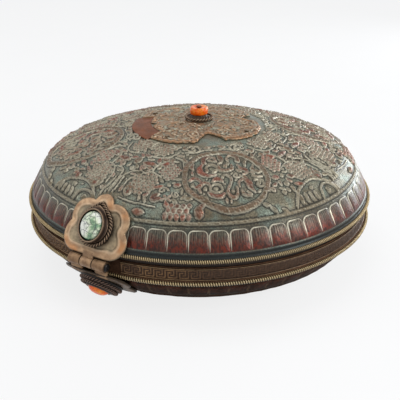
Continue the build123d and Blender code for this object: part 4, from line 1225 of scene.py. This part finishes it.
def build_catch_pin():
    """The catch's pin: a plain shank, a ring and a ribbed knob."""
    spare = 0.3
    shank = 1.5
    ring = 1.9
    knob_radius = 2.8
    start = knuckle_length / 2 + spare
    knob = start + 2 * (1.5 * knuckle_length + spare) + knob_radius
    steps = [(start, 0.02), (start, 1.1), (start + 0.5, shank)]
    steps += [(along, shank) for along in np.linspace(start + 2, knob - 3.6, 8)]
    steps += [(knob - 3.0, shank), (knob - 2.95, ring), (knob - 2.7, ring), (knob - 2.6, shank)]
    for degrees in np.linspace(148, 4, 14):
        x, y = polar(knob_radius, degrees)
        steps.append((knob + x, y))

    def ribbed(reach, along, turn):
        return reach * (1 - 0.05 * (0.5 + 0.5 * np.cos(10 * turn)) * (along > knob - 2.3) * (reach > 1.0))

    points = along_pin(steps, 36, -1.0, ribbed)
    return mesh_object("catch_pin_knobbed", *grid(points, {"wear": np.zeros(points.shape[:2])}))


# Settings

ring_wire = 2.2
half_wire = ring_wire / 2
setting_root = 1.3
terrace_height = 2.6
seat_height = terrace_height - 0.6
teardrop_radius = 12.4
teardrop_tip = 16.1
teardrop_round = 1.6
coral_ring_radius = 14.0
coral_second_ring_radius = 12.4


def oval(width, length, count):
    angle = round_turn(count)
    return np.stack([width / 2 * np.cos(angle), setting_centre + length / 2 * np.sin(angle)], 1)


def disc(radius):
    return oval(2 * radius, 2 * radius, 120)


def teardrop(inset):
    radius = teardrop_radius - inset
    half_point = math.asin(teardrop_radius / teardrop_tip)
    angle = np.linspace(math.pi - half_point, 2 * math.pi + half_point, 90)
    body = np.stack([radius * np.cos(angle), setting_centre + radius * np.sin(angle)], 1)
    rounding = min(teardrop_round, radius * 0.4)
    tip = setting_centre + radius / math.sin(half_point) - rounding / math.sin(half_point)
    angle = np.linspace(half_point, math.pi - half_point, 12)
    return np.vstack([body, np.stack([rounding * np.cos(angle), tip + rounding * np.sin(angle)], 1)])


def rope(leaf, outline, lift, radius, pitch):
    """Two twisted wires along an outline on a plate's flat front."""
    length = np.hypot(*np.diff(np.vstack([outline, outline[:1]]), axis=0).T).sum()
    turns = max(int(round(length / pitch)), 3)
    points_per_turn = 14
    columns = turns * points_per_turn
    path = resampled(outline, columns)
    tangent = np.roll(path, -1, 0) - np.roll(path, 1, 0)
    tangent /= np.hypot(*tangent.T)[:, None]
    turn = round_turn(10)[:, None]
    strand = 0.56 * radius
    parts = []
    for start in (0, 0.5):
        twist = 2 * math.pi * (turns * np.arange(columns) / columns + start)
        across = (radius - strand) * np.cos(twist) + strand * np.cos(turn)
        rise = (radius - strand) * np.sin(twist) + strand * np.sin(turn)
        u, v = path[:, 0] + across * tangent[:, 1], path[:, 1] - across * tangent[:, 0]
        points = leaf.flat(u, v, lift + rise)
        # Painted highlight on the strands' crowns and painted shade where they twist together
        parts.append(grid(points, {"wear": (np.hypot(across, rise) / radius - 0.6) * 2.5}))
    return join(*parts)


def curb(leaf, outer, inner, low, high):
    """A low wall between two outlines."""
    outer, inner = resampled(outer, 160).T, resampled(inner, 160).T
    corners = ((outer, low), (outer, high), (inner, high), (inner, low))
    # The low wall is painted with shade
    return grid(np.stack([leaf.flat(*path, lift) for path, lift in corners]), {"wear": -0.6})


def radial(outline, count):
    """An outline's points at even angles about the setting's centre, from +u on."""
    offset = outline - setting_middle
    angle = np.unwrap(np.arctan2(offset[:, 1], offset[:, 0]))
    wanted = round_turn(count)
    found = np.interp(wanted, angle % (2 * math.pi), np.hypot(*offset.T), period=2 * math.pi)
    return np.stack([found * np.cos(wanted), setting_centre + found * np.sin(wanted)], 1)


def build_collar(name, leaf, floor, width, length, seed):
    """A terrace, a rounded step and a wall that closes on the stone."""
    count = 200
    floor = radial(floor, count)
    inset = setting_middle + (floor - setting_middle) * 0.985
    limit = np.hypot(*(inset - setting_middle).T)
    rows = [(floor, -setting_root), (floor, terrace_height - 0.35), (inset, terrace_height)]
    for share, lift in ((0.55, 0.05), (0.25, 0.25), (0.0, 0.6)):
        step = 3.2 + 2.2 * share
        offset = oval(width + step, length + step, count) - setting_middle
        kept = np.minimum(1, limit / np.hypot(*offset.T))[:, None]
        rows.append((setting_middle + offset * kept, terrace_height + lift))
    wall = ((3.0, 1.2), (2.8, 1.9), (2.5, 2.5), (2.1, 2.86), (1.6, 2.98), (1.0, 2.9), (0.35, 2.6))
    for spread, lift in wall + ((0.12, 1.0), (0.1, -0.55)):
        rows.append((oval(width + spread, length + spread, count), terrace_height + lift))
    bore = oval(2.0, 2.0, count)
    rows += [(bore, seat_height), (bore, -setting_root)]
    points = []
    for path, lift in rows:
        rough = 0.05 * waves(*path.T, lift, 3.5, seed, 2) * (-setting_root < lift)
        points.append(leaf.flat(*path.T, lift + rough))
    # Painted highlight along the terrace's edge and the wall's top; painted shade in the corner at the
    # wall's foot and down the wall's inside
    wear = np.zeros((len(rows), count))
    wear[2] = 0.7
    wear[5:7] = -0.5
    wear[9:12] = 0.9
    wear[12:] = -0.8
    return mesh_object(name, *grid(np.stack(points), {"wear": wear}))


def build_stone(name, leaf, width, length, height, seed):
    """A cabochon, nearly straight at its girdle and domed above."""
    count = 120
    girdle = 0.36
    profile = [(0.0, 0.90), (0.02, 0.955), (0.2, 0.975), (girdle, 0.965)]
    for degrees in np.linspace(12, 88, 22):
        spread, rise = polar(1, degrees)
        profile.append((girdle + (1 - girdle) * rise, 0.965 * spread**0.86))
    rows = []
    for rise, spread in profile + [(0.0, 0.02)]:
        path = oval(spread * width, spread * length, count)
        lump = 0.036 * waves(*path.T, rise * height, 7, seed, 2) * (0.3 < rise)
        rows.append(leaf.flat(*path.T, seat_height + rise * height + lump))
    return mesh_object(name, *grid(np.stack(rows), {}))


# Finial


class Upright:
    """Lets the ropes lie flat on the crown, where u and v are x and y."""

    def __init__(self, z):
        self.z = z

    def flat(self, u, v, lift):
        return np.stack([*np.broadcast_arrays(u, v - setting_centre, self.z + lift)], -1)


def turned_piece(name, steps, count, shape):
    """A piece turned about the box's axis, from radii and heights, with a bore up its middle."""
    angle = round_turn(count)
    points = np.stack([spun(shape(reach, angle, z), angle, z) for reach, z in steps])
    return mesh_object(name, *grid(points, {"wear": np.zeros(points.shape[:2])}))


plaque_rise = 1.2
cup_height = 3.3
bead_height = 8.2
plaque_top = lid_wire_z + float(lid_dome.height(0.0)) + plaque_rise
cup_top = plaque_top + cup_height
bead_top = plaque_top + bead_height
bead_half = (bead_top - cup_top) / 2


def build_cup():
    def petals(reach, angle, z):
        scalloped = (reach > 3) * (plaque_top + 0.2 < z < cup_top - 0.4)
        return reach - 0.35 * np.abs(np.sin(angle * 8)) * scalloped

    steps = [(finial_bore, plaque_top - 1.15), (7.7, plaque_top - 0.9), (7.75, plaque_top - 0.1)]
    flare = ((7.6, 0.3), (7.0, 0.9), (6.4, 1.5), (5.9, 2.1), (5.5, 2.7))
    steps += [(reach, plaque_top + rise) for reach, rise in flare]
    steps += [(5.4, cup_top - 0.12), (5.2, cup_top - 0.02), (finial_bore, cup_top - 0.02)]
    return turned_piece("finial_cup_turned", steps, 192, petals)


def build_bead():
    """The coral bead, worn flat and hollowed round its bore."""
    bead_radius = 6.58
    girdle_half = 62  # degrees
    steps = [(finial_bore, cup_top + 0.02), (5.0, cup_top + 0.02)]
    for degrees in np.linspace(-girdle_half, girdle_half, 17):
        angle = math.radians(degrees)
        rise = 0.97 * bead_half * math.sin(angle) / math.sin(math.radians(girdle_half))
        steps.append((5.35 + 1.22 * math.cos(angle) ** 0.9, cup_top + bead_half + rise))
    hollow = ((5.2, 0.05), (4.2, 0.1), (3.0, 0.35), (2.2, 0.8), (finial_bore, 0.9))
    steps += [(reach, bead_top - drop) for reach, drop in hollow]

    def uneven(reach, angle, z):
        worn = 1 - 0.02 * (1 + np.sin(2 * angle + 1)) - 0.012 * np.sin(5 * angle + z)
        return np.minimum(reach * worn, bead_radius)

    return turned_piece("finial_coral_bead", steps, 120, uneven)


# Finishes


def colour(red, green, blue):
    """A colour given as it looks on a screen, from 0 to 255."""
    made = []
    for part in (red, green, blue):
        part = part / 255
        made.append(part / 12.92 if part <= 0.04045 else ((part + 0.055) / 1.055) ** 2.4)
    return (*made, 1.0)


class Finish:
    """A material and the nodes that make it. Colours are written as they look on a screen."""

    def __init__(self, name, metallic, roughness, gloss=0.5, coat=0.0):
        self.material = bpy.data.materials.new(name)
        self.material.use_nodes = True
        self.tree = self.material.node_tree
        self.tree.nodes.clear()
        self.output = self.node("OutputMaterial")
        self.shader = self.node("BsdfPrincipled")
        self.set("Metallic", metallic)
        self.set("Roughness", roughness)
        self.set("Specular IOR Level", gloss)
        self.set("Coat Weight", coat)
        self.tree.links.new(self.shader.outputs["BSDF"], self.output.inputs["Surface"])
        self.place = self.node("TexCoord").outputs["Object"]

    def node(self, kind):
        return self.tree.nodes.new("ShaderNode" + kind)

    def set(self, socket, value):
        self.shader.inputs[socket].default_value = value

    def feed(self, source, socket):
        """Gives a socket another node's output, a colour or a number."""
        if isinstance(source, tuple):
            socket.default_value = colour(*source)
        elif isinstance(source, (int, float)):
            socket.default_value = source
        else:
            self.tree.links.new(source, socket)

    def noise(self, size, detail=3.0, rough=0.55, flat=1.0):
        """Noise whose features are about size millimetres, drawn out upward where flat is below 1."""
        node = self.node("TexNoise")
        node.inputs["Scale"].default_value = 1000 / size
        node.inputs["Detail"].default_value = detail
        node.inputs["Roughness"].default_value = rough
        source = self.place
        if flat < 1.0:
            mapping = self.node("Mapping")
            mapping.inputs["Scale"].default_value = (1.0, 1.0, flat)
            self.feed(source, mapping.inputs["Vector"])
            source = mapping.outputs["Vector"]
        self.feed(source, node.inputs["Vector"])
        return node.outputs["Fac"]

    def cells(self, size, feature="F1"):
        node = self.node("TexVoronoi")
        node.feature = feature
        node.inputs["Scale"].default_value = 1000 / size
        self.feed(self.place, node.inputs["Vector"])
        return node.outputs["Distance"]

    def value(self, name):
        node = self.node("Attribute")
        node.attribute_name = name
        return node.outputs["Fac"]

    def ramp(self, source, *stops):
        """Steps along a source: pairs of place and grey value or colour."""
        node = self.node("ValToRGB")
        elements = node.color_ramp.elements
        while len(elements) < len(stops):
            elements.new(0.5)
        for element, (place, tint) in zip(elements, stops):
            element.position = place
            element.color = colour(*tint) if isinstance(tint, tuple) else (tint, tint, tint, 1.0)
        self.feed(source, node.inputs["Fac"])
        return node.outputs["Color"]

    def mix(self, share, first, second):
        node = self.node("Mix")
        node.data_type = "RGBA"
        for source, socket in ((share, 0), (first, 6), (second, 7)):
            self.feed(source, node.inputs[socket])
        return node.outputs[2]

    def lay(self, under, over, source, low, high, most):
        """Lays one colour over another, from none where the source is low to most where it is high."""
        return self.mix(self.ramp(source, (low, 0.0), (high, most)), under, over)

    def sum(self, operation, first, second):
        node = self.node("Math")
        node.operation = operation
        node.use_clamp = operation == "ADD"
        self.feed(first, node.inputs[0])
        self.feed(second, node.inputs[1])
        return node.outputs[0]

    def times(self, source, factor):
        return self.sum("MULTIPLY", source, factor)

    def done(self, body, rough_source, low, high, *layers):
        """Sets the colour, the roughness and the bump: layers of a socket and a depth in millimetres."""
        self.feed(body, self.shader.inputs["Base Color"])
        if rough_source is not None:
            roughness = self.ramp(rough_source, (0.25, low), (0.75, high))
            self.feed(roughness, self.shader.inputs["Roughness"])
        normal = None
        for source, depth in layers:
            node = self.node("Bump")
            node.inputs["Strength"].default_value = 0.8
            node.inputs["Distance"].default_value = depth * MM
            self.feed(source, node.inputs["Height"])
            if normal is not None:
                self.feed(normal, node.inputs["Normal"])
            normal = node.outputs["Normal"]
        self.feed(normal, self.shader.inputs["Normal"])
        return self.material


def chased_copper(name, metallic, coat, gloss, rough, tones):
    """Old copper: patina in the ground, bare red metal where it is rubbed, painted shade in the grooves and
    hollows, and a painted highlight on edges and high points.
    """
    patina, patina_dark, teal, brown, red, red_dark, flute_red, pale, dark = tones
    finish = Finish(name, metallic, 0.42, gloss, coat)
    finish.set("Coat Roughness", 0.42)
    broad = finish.noise(30, 4)
    patchy = finish.noise(8, 4)
    fine = finish.noise(1.3, 4, 0.65)
    wear = finish.value("wear")
    ground = finish.lay(patina, brown, broad, 0.36, 0.66, 1.0)
    ground = finish.lay(ground, teal, finish.noise(12), 0.46, 0.62, 0.6)
    ground = finish.lay(ground, patina_dark, finish.noise(0.75, 2, 0.6), 0.42, 0.60, 0.75)
    ground = finish.lay(ground, patina_dark, fine, 0.44, 0.70, 0.5)
    bare = finish.lay(red, red_dark, patchy, 0.38, 0.62, 1.0)
    copper_share = finish.times(finish.ramp(finish.value("tone"), (0.35, 0.0), (0.9, 1.0)), 0.85)
    form = finish.mix(copper_share, finish.mix(0.72, ground, brown), bare)
    # Rubbed wear and a painted highlight on the high points, in the pale tone
    form = finish.lay(form, pale, wear, 0.25, 0.9, 0.25)
    body = finish.mix(finish.value("raised"), ground, form)
    # Painted shade in the hollows, in the dark tone
    body = finish.lay(body, dark, finish.times(wear, -1.0), 0.10, 0.7, 0.8)
    # Pale along the forms' edges: rubbed wear broken by noise, and a painted highlight
    edge_wear_and_highlight = finish.ramp(patchy, (0.36, 0.3), (0.62, 0.8))
    body = finish.mix(finish.times(finish.value("edge"), edge_wear_and_highlight), body, pale)

    # Gadroons, redder towards their feet
    rubbed = finish.sum("ADD", finish.times(finish.value("down"), 0.6), finish.times(patchy, 0.9))
    deep = finish.lay(flute_red, red_dark, patchy, 0.38, 0.62, 1.0)
    shaded = finish.mix(0.62, finish.mix(0.5, ground, brown), dark)
    flute = finish.lay(shaded, deep, rubbed, 0.48, 0.84, 1.0)
    flute = finish.lay(flute, dark, finish.noise(1.1, 3, 0.6, 0.22), 0.42, 0.60, 0.75)
    flute = finish.mix(finish.times(finish.value("streak"), 0.16), flute, pale)
    # Painted highlight along the gadroons' lips
    flute = finish.lay(flute, pale, finish.value("divider"), 0.3, 0.85, 0.95)
    body = finish.mix(finish.value("flute"), body, flute)
    body = finish.lay(body, (17, 24, 26), finish.value("cove"), 0.0, 1.0, 0.95)
    # Painted shade in the grooves, between the gadroons' tops and on the wall under the wire
    body = finish.lay(body, dark, finish.value("groove"), 0.1, 1.0, 0.85)
    inner = finish.lay((112, 82, 60), (78, 54, 40), patchy, 0.3, 0.7, 1.0)
    body = finish.mix(finish.value("inside"), body, inner)
    layers = (finish.cells(1.4), 0.10), (fine, 0.12), (patchy, 0.25)
    return finish.done(body, patchy, rough, rough + 0.2, *layers)


def rubbed_and_shaded_metal(name, first, second, pale, dark, roughness, size, metallic=0.75):
    """Plain metal with two mottled tones, pale where it stands out as rubbed wear and a painted highlight,
    and darkened with painted shade where it is sunk.
    """
    finish = Finish(name, metallic, roughness)
    patchy = finish.noise(size, 4)
    fine = finish.noise(size / 5)
    wear = finish.value("wear")
    body = finish.lay(first, second, patchy, 0.36, 0.66, 1.0)
    body = finish.lay(body, pale, wear, 0.12, 0.7, 0.8)
    body = finish.lay(body, dark, finish.times(wear, -1.0), 0.1, 0.7, 0.9)
    return finish.done(body, fine, roughness - 0.1, roughness + 0.12, (fine, 0.06), (patchy, 0.18))


def leaf_copper(name, metallic, gloss, pale, brown, warm, sunk_light, sunk_dark, lip):
    """Rubbed sheet copper: a paler border and a browner field."""
    finish = Finish(name, metallic, 0.42, gloss)
    patchy = finish.noise(4.5, 5, 0.6)
    fine = finish.noise(0.9)
    rim = finish.lay(pale, brown, patchy, 0.38, 0.62, 1.0)
    rim = finish.lay(rim, warm, finish.noise(12), 0.52, 0.68, 0.75)
    sunk = finish.lay(sunk_light, sunk_dark, patchy, 0.38, 0.62, 1.0)
    body = finish.mix(finish.ramp(finish.value("border"), (0.0, 0.25), (1.0, 1.0)), sunk, rim)
    # Rubbed wear and a painted highlight on the plate's raised lip
    body = finish.lay(body, lip, finish.value("wear"), 0.5, 0.95, 0.4)
    body = finish.lay(body, (52, 40, 32), finish.value("crease"), 0.4, 1.0, 0.45)
    knuckle_tone = finish.lay((166, 134, 102), (122, 94, 70), patchy, 0.36, 0.64, 1.0)
    body = finish.mix(finish.value("bright"), body, knuckle_tone)
    # Painted shade round the settings, on the knuckles' ends and in their bores
    body = finish.lay(body, (36, 28, 23), finish.value("soot"), 0.0, 1.0, 0.8)
    return finish.done(body, fine, 0.32, 0.5, (fine, 0.06), (patchy, 0.3))


def plaque_copper():
    """Copper sheet with a patchy patina, warm along its edge, pale on the ridges as rubbed wear and a
    painted highlight, and painted shade in the hollows.
    """
    finish = Finish("plaque_copper_chased", 0.75, 0.42)
    patchy = finish.noise(5.0, 5, 0.6)
    fine = finish.noise(1.0, 4, 0.6)
    wear = finish.value("wear")
    warm = (144, 110, 80)
    tones = ((138, 134, 114), warm, (112, 104, 86), (156, 158, 140))
    body = finish.ramp(patchy, *zip((0.36, 0.45, 0.55, 0.64), tones))
    body = finish.lay(body, warm, finish.noise(18), 0.50, 0.66, 0.6)
    body = finish.mix(finish.times(finish.value("tone"), 0.3), body, (152, 116, 88))
    body = finish.mix(finish.times(finish.value("rim"), 0.6), body, (156, 112, 78))
    # Rubbed wear and a painted highlight on the ridges, then painted shade in the hollows
    body = finish.lay(body, (210, 202, 182), wear, 0.2, 0.85, 0.5)
    body = finish.lay(body, (52, 44, 36), finish.times(wear, -1.0), 0.08, 0.6, 0.7)
    return finish.done(body, fine, 0.32, 0.54, (fine, 0.08), (patchy, 0.2))


def turquoise():
    finish = Finish("turquoise_stone", 0.0, 0.22, coat=0.5)
    veins = finish.cells(4.2, "DISTANCE_TO_EDGE")
    fine = finish.noise(1.6, 4)
    tones = ((250, 250, 234), (222, 234, 196), (136, 172, 128), (50, 104, 100))
    body = finish.ramp(finish.noise(6.5, 4), *zip((0.42, 0.52, 0.60, 0.72), tones))
    body = finish.lay(body, (60, 78, 70), fine, 0.5, 0.72, 0.7)
    body = finish.mix(finish.ramp(veins, (0.0, 0.85), (0.07, 0.0)), body, (34, 48, 58))
    return finish.done(body, None, 0, 0, (veins, 0.05), (fine, 0.03))


def coral():
    finish = Finish("coral_stone", 0.0, 0.24, 0.3, 0.1)
    finish.set("Subsurface Weight", 0.12)
    finish.set("Subsurface Scale", 0.002)
    specks = finish.noise(0.8)
    tones = ((222, 74, 4), (250, 112, 12), (255, 162, 48))
    body = finish.ramp(finish.noise(5.0, 4), *zip((0.32, 0.52, 0.7), tones))
    body = finish.lay(body, (128, 30, 14), specks, 0.62, 0.75, 0.5)
    return finish.done(body, None, 0, 0, (specks, 0.03))


def key_band_metal():
    finish = Finish("band_copper_chased", 0.65, 0.5)
    patchy = finish.noise(12, 4)
    fine = finish.noise(1.4)
    raised = finish.value("raised")
    high = finish.lay((132, 100, 66), (88, 64, 44), patchy, 0.36, 0.66, 1.0)
    high = finish.mix(finish.value("dull"), high, (84, 60, 42))
    high = finish.lay(high, (48, 34, 25), fine, 0.40, 0.62, 0.5)
    low = finish.mix(finish.value("dull"), (60, 42, 30), (46, 34, 25))
    body = finish.lay(low, high, raised, 0.15, 0.75, 1.0)
    body = finish.lay(body, (150, 128, 96), raised, 0.92, 1.0, 0.4)
    return finish.done(body, fine, 0.4, 0.62, (fine, 0.05), (patchy, 0.15))


# Pieces

lid_tones = (
    (156, 152, 130),
    (70, 70, 58),
    (124, 148, 138),
    (98, 82, 58),
    (126, 58, 38),
    (80, 42, 30),
    (104, 32, 10),
    (210, 204, 182),
    (22, 19, 16),
)
# The lid's copper tones darkened: painted shade for the base, which faces down
base_shade_tones = (
    (60, 48, 38),
    (36, 28, 22),
    (48, 44, 38),
    (64, 42, 28),
    (78, 42, 26),
    (48, 30, 20),
    (74, 38, 22),
    (104, 84, 64),
    (12, 10, 8),
)
copper = chased_copper("patinated_copper_chased", 0.5, 0.12, 0.4, 0.30, lid_tones)
# A darker copy of the lid's copper, as painted shade on the base
shaded_base_copper = chased_copper("base_copper_painted_shade", 0.15, 0.0, 0.05, 0.6, base_shade_tones)
metals = {
    "milled_brass": ((134, 108, 66), (104, 84, 56), (190, 174, 138), (22, 17, 12), 0.42, 14.0),
    "dark_bezel_metal": ((72, 54, 41), (50, 38, 30), (142, 120, 98), (14, 11, 10), 0.42, 5.0),
    # The coral's rings: the bezel metal darkened as painted shade
    "shaded_bezel_metal": ((50, 38, 32), (32, 25, 22), (112, 88, 74), (10, 8, 7), 0.5, 5.0, 0.5),
    "patch_copper_rubbed": ((124, 70, 38), (100, 60, 38), (158, 108, 76), (50, 32, 24), 0.52, 7.0),
    "inner_copper_plain": ((128, 84, 58), (96, 66, 50), (160, 120, 90), (40, 28, 22), 0.5, 9.0),
    "dark_pin_iron": ((42, 38, 36), (28, 26, 26), (92, 84, 76), (12, 11, 11), 0.4, 6.0),
    # Painted shadow: dark copper for the inner collar and the lid's flange, under the lid's wire
    "shaded_collar_copper": ((50, 36, 27), (34, 26, 21), (92, 66, 48), (14, 11, 9), 0.5, 9.0, 0.4),
    "worn_rivet_copper": ((136, 118, 94), (112, 98, 80), (170, 152, 126), (60, 48, 38), 0.45, 4.0),
}
brass, bezel, shaded_bezel, patch_metal, plain_metal, iron, shaded_collar_metal, rivet_metal = (
    rubbed_and_shaded_metal(name, *values) for name, values in metals.items()
)
plate_tones = ((184, 152, 118), (144, 114, 86), (184, 128, 82), (150, 138, 112), (108, 104, 86))
plate_tones += ((206, 180, 150),)
# The lower plates' tones are the upper plates' darkened: painted shade for plates that face down
shaded_plate_tones = ((96, 76, 58), (66, 52, 40), (104, 72, 48), (66, 58, 44), (44, 38, 31), (122, 102, 80))
plate = leaf_copper("rubbed_plate_copper", 0.6, 0.5, *plate_tones)
shaded_plate = leaf_copper("shaded_plate_copper", 0.3, 0.1, *shaded_plate_tones)
coral_look = coral()

second_ring = disc(coral_second_ring_radius - half_wire)
turquoise_size = (15.4, 17.8)
coral_size = (14.2, 14.2)
dress(build_lid(), copper, "lid", "lid_shell")
dress(build_base(), shaded_base_copper, "base", "base_shell")
piece = build_milled_wire("lid_wire_milled", lid_wire_z, 600)
dress(piece, brass, "lid", "lid_milled_wire")
piece = build_milled_wire("base_wire_milled", base_wire_z, 520)
dress(piece, brass, "base", "base_milled_wire")
dress(build_band(), key_band_metal(), "base", "meander_band")
dress(build_plaque(), plaque_copper(), "lid", "top_plaque")
dress(build_patch(), patch_metal, "lid", "plaque_patch")
piece = mesh_object("finial_rope", *rope(Upright(plaque_top), disc(9.0), 1.0, 1.0, 4.4))
dress(piece, bezel, "lid", "finial_rope_ring")
dress(build_cup(), bezel, "lid", "finial_cup")
dress(build_bead(), coral_look, "lid", "finial_coral")
dress(build_hinge_pin(), iron, "base", "hinge_pin")
dress(build_catch_pin(), brass, "catch_pin", "catch_pin")

piece = build_leaf("hinge_upper_plate", upper_leaf, 41)
both_sides(piece, plate, "lid", "leaf_upper")
piece = build_leaf("hinge_lower_plate", lower_leaf, 47)
both_sides(piece, shaded_plate, "base", "leaf_lower")

twisted = rope(upper_leaf, teardrop(half_wire), 1.1, half_wire, 3.8)
curbed = curb(upper_leaf, teardrop(0.35), teardrop(ring_wire - 0.05), -setting_root, 0.9)
piece = mesh_object("hinge_turquoise_rope", *join(twisted, curbed))
both_sides(piece, bezel, "lid", "turquoise_rope_ring")

twisted = rope(lower_leaf, disc(coral_ring_radius - half_wire), 1.5, half_wire, 3.8)
outer, inner = disc(coral_ring_radius - 0.35), disc(coral_ring_radius - ring_wire + 0.05)
piece = mesh_object("hinge_coral_rope", *join(twisted, curb(lower_leaf, outer, inner, -setting_root, 1.3)))
both_sides(piece, shaded_bezel, "base", "coral_rope_ring")

twisted = rope(lower_leaf, second_ring, terrace_height + half_wire, half_wire, 3.4)
piece = mesh_object("hinge_coral_upper_rope", *twisted)
both_sides(piece, shaded_bezel, "base", "coral_second_ring")

piece = build_collar("hinge_turquoise_bezel", upper_leaf, teardrop(ring_wire), *turquoise_size, 61)
both_sides(piece, bezel, "lid", "turquoise_collar")
piece = build_collar("hinge_coral_bezel", lower_leaf, disc(coral_ring_radius - ring_wire), *coral_size, 67)
both_sides(piece, shaded_bezel, "base", "coral_collar")
piece = build_stone("hinge_turquoise", upper_leaf, *turquoise_size, 5.8, 71)
both_sides(piece, turquoise(), "lid", "turquoise_stone")
piece = build_stone("hinge_coral", lower_leaf, *coral_size, 6.2, 73)
both_sides(piece, coral_look, "base", "coral_stone")

kept_nodes = {
    # Painted shadow under the lid's wire
    "inner_collar": shaded_collar_metal,
    "lid_rim_flange": shaded_collar_metal,
    "plaque_rivets": rivet_metal,
    "finial_washer": brass,
    "finial_pin": patch_metal,
    "hinge_upper_rivets": plain_metal,
    "hinge_lower_rivets": plain_metal,
    "catch_upper_rivets": plain_metal,
    "catch_lower_rivets": plain_metal,
}
for node, material in kept_nodes.items():
    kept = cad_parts[node]
    kept.data.materials.clear()
    kept.data.materials.append(material)

# Floor, light and camera

camera_azimuth = 31.6  # degrees from the hinge's side, towards +X
camera_elevation = 22.3  # degrees
camera_distance = 0.4832
camera_roll = -0.27  # degrees
picture_width = 400
focal_pixels = 662.0
principal = (199.33, 181.61)  # picture point on the lens axis, in pixels


def lamp(name, place, size, energy, tint=(1.0, 1.0, 1.0)):
    """A square softbox turned to the box."""
    light = bpy.data.lights.new(name, "AREA")
    light.size = size
    light.energy = energy
    light.color = tint
    source = bpy.data.objects.new(name, light)
    source.location = place
    source.rotation_euler = (Vector((0, 0, 0.05)) - Vector(place)).to_track_quat("-Z", "Y").to_euler()
    bpy.context.scene.collection.objects.link(source)
    return source


def sees_background(tree):
    """1 for rays from the camera, off metal or through glass."""
    rays = tree.nodes.new("ShaderNodeLightPath")
    total = rays.outputs["Is Camera Ray"]
    for kind in ("Is Glossy Ray", "Is Transmission Ray"):
        node = tree.nodes.new("ShaderNodeMath")
        node.operation = "MAXIMUM"
        tree.links.new(total, node.inputs[0])
        tree.links.new(rays.outputs[kind], node.inputs[1])
        total = node.outputs[0]
    return total


def blended(tree, share, first, second, output):
    """Shows the second shader where share is 1 and the first where it is 0."""
    chooser = tree.nodes.new("ShaderNodeMixShader")
    for source, socket in zip((share, first.outputs[0], second.outputs[0]), chooser.inputs):
        tree.links.new(source, socket)
    tree.links.new(chooser.outputs["Shader"], output.inputs["Surface"])


far = 1600
floor_z = -0.1
corners = [(-far, -far, floor_z), (far, -far, floor_z), (far, far, floor_z), (-far, far, floor_z)]
floor_mesh = mesh_object("studio_floor", corners, [(0, 1, 2, 3)])
paper = Finish("studio_paper", 0.0, 0.9)
paper_tone = paper.ramp(paper.noise(60, 2), (0.3, (243, 243, 243)), (0.7, (246, 246, 246)))
paper.feed(paper_tone, paper.shader.inputs["Base Color"])
glow = paper.node("Emission")
glow.inputs["Color"].default_value = (1, 1, 1, 1)
glow.inputs["Strength"].default_value = 1.0
glow_share = 0.8  # the rest is the lit paper, with the box's shadow
shown = paper.times(sees_background(paper.tree), glow_share)
blended(paper.tree, shown, paper.shader, glow, paper.output)
floor_mesh.data.materials.append(paper.material)

world = bpy.data.worlds.new("studio_world")
bpy.context.scene.world = world
world.use_nodes = True
sky = world.node_tree
sky.nodes.clear()
plain_light, white = sky.nodes.new("ShaderNodeBackground"), sky.nodes.new("ShaderNodeBackground")
plain_light.inputs["Color"].default_value = (0.62, 0.65, 0.7, 1)
plain_light.inputs["Strength"].default_value = 0.75
white.inputs["Color"].default_value = (1, 1, 1, 1)
white.inputs["Strength"].default_value = 1.0
blended(sky, sees_background(sky), plain_light, white, sky.nodes.new("ShaderNodeOutputWorld"))

lamp("right_softbox", (0.85, 0.05, 0.42), 0.4, 3.2)
lamp("back_softbox", (0.34, 1.0, 0.14), 0.5, 6.0, (0.9, 0.96, 1.0))
lamp("top_softbox", (-0.1, -0.1, 1.2), 0.8, 3.0)
lamp("left_fill", (-0.9, -0.6, 0.7), 0.6, 1.5)

target = Vector((0, 0, lid_wire_z * MM))
azimuth = math.radians(camera_azimuth)
elevation = math.radians(camera_elevation)
level = math.cos(elevation)
toward = Vector((level * math.sin(azimuth), -level * math.cos(azimuth), math.sin(elevation)))
camera_data = bpy.data.cameras.new("photo_camera")
camera = bpy.data.objects.new("photo_camera", camera_data)
camera.location = target + camera_distance * toward
camera.rotation_mode = "QUATERNION"
roll = Matrix.Rotation(math.radians(camera_roll), 4, "Z").to_quaternion()
camera.rotation_quaternion = (-toward).to_track_quat("-Z", "Y") @ roll
camera_data.sensor_width = 36.0
camera_data.lens = focal_pixels / picture_width * camera_data.sensor_width
camera_data.shift_x = (picture_width / 2 - principal[0]) / picture_width
camera_data.shift_y = (principal[1] - picture_width / 2) / picture_width
bpy.context.scene.collection.objects.link(camera)
bpy.context.scene.camera = camera
bpy.context.scene.view_settings.view_transform = "Standard"
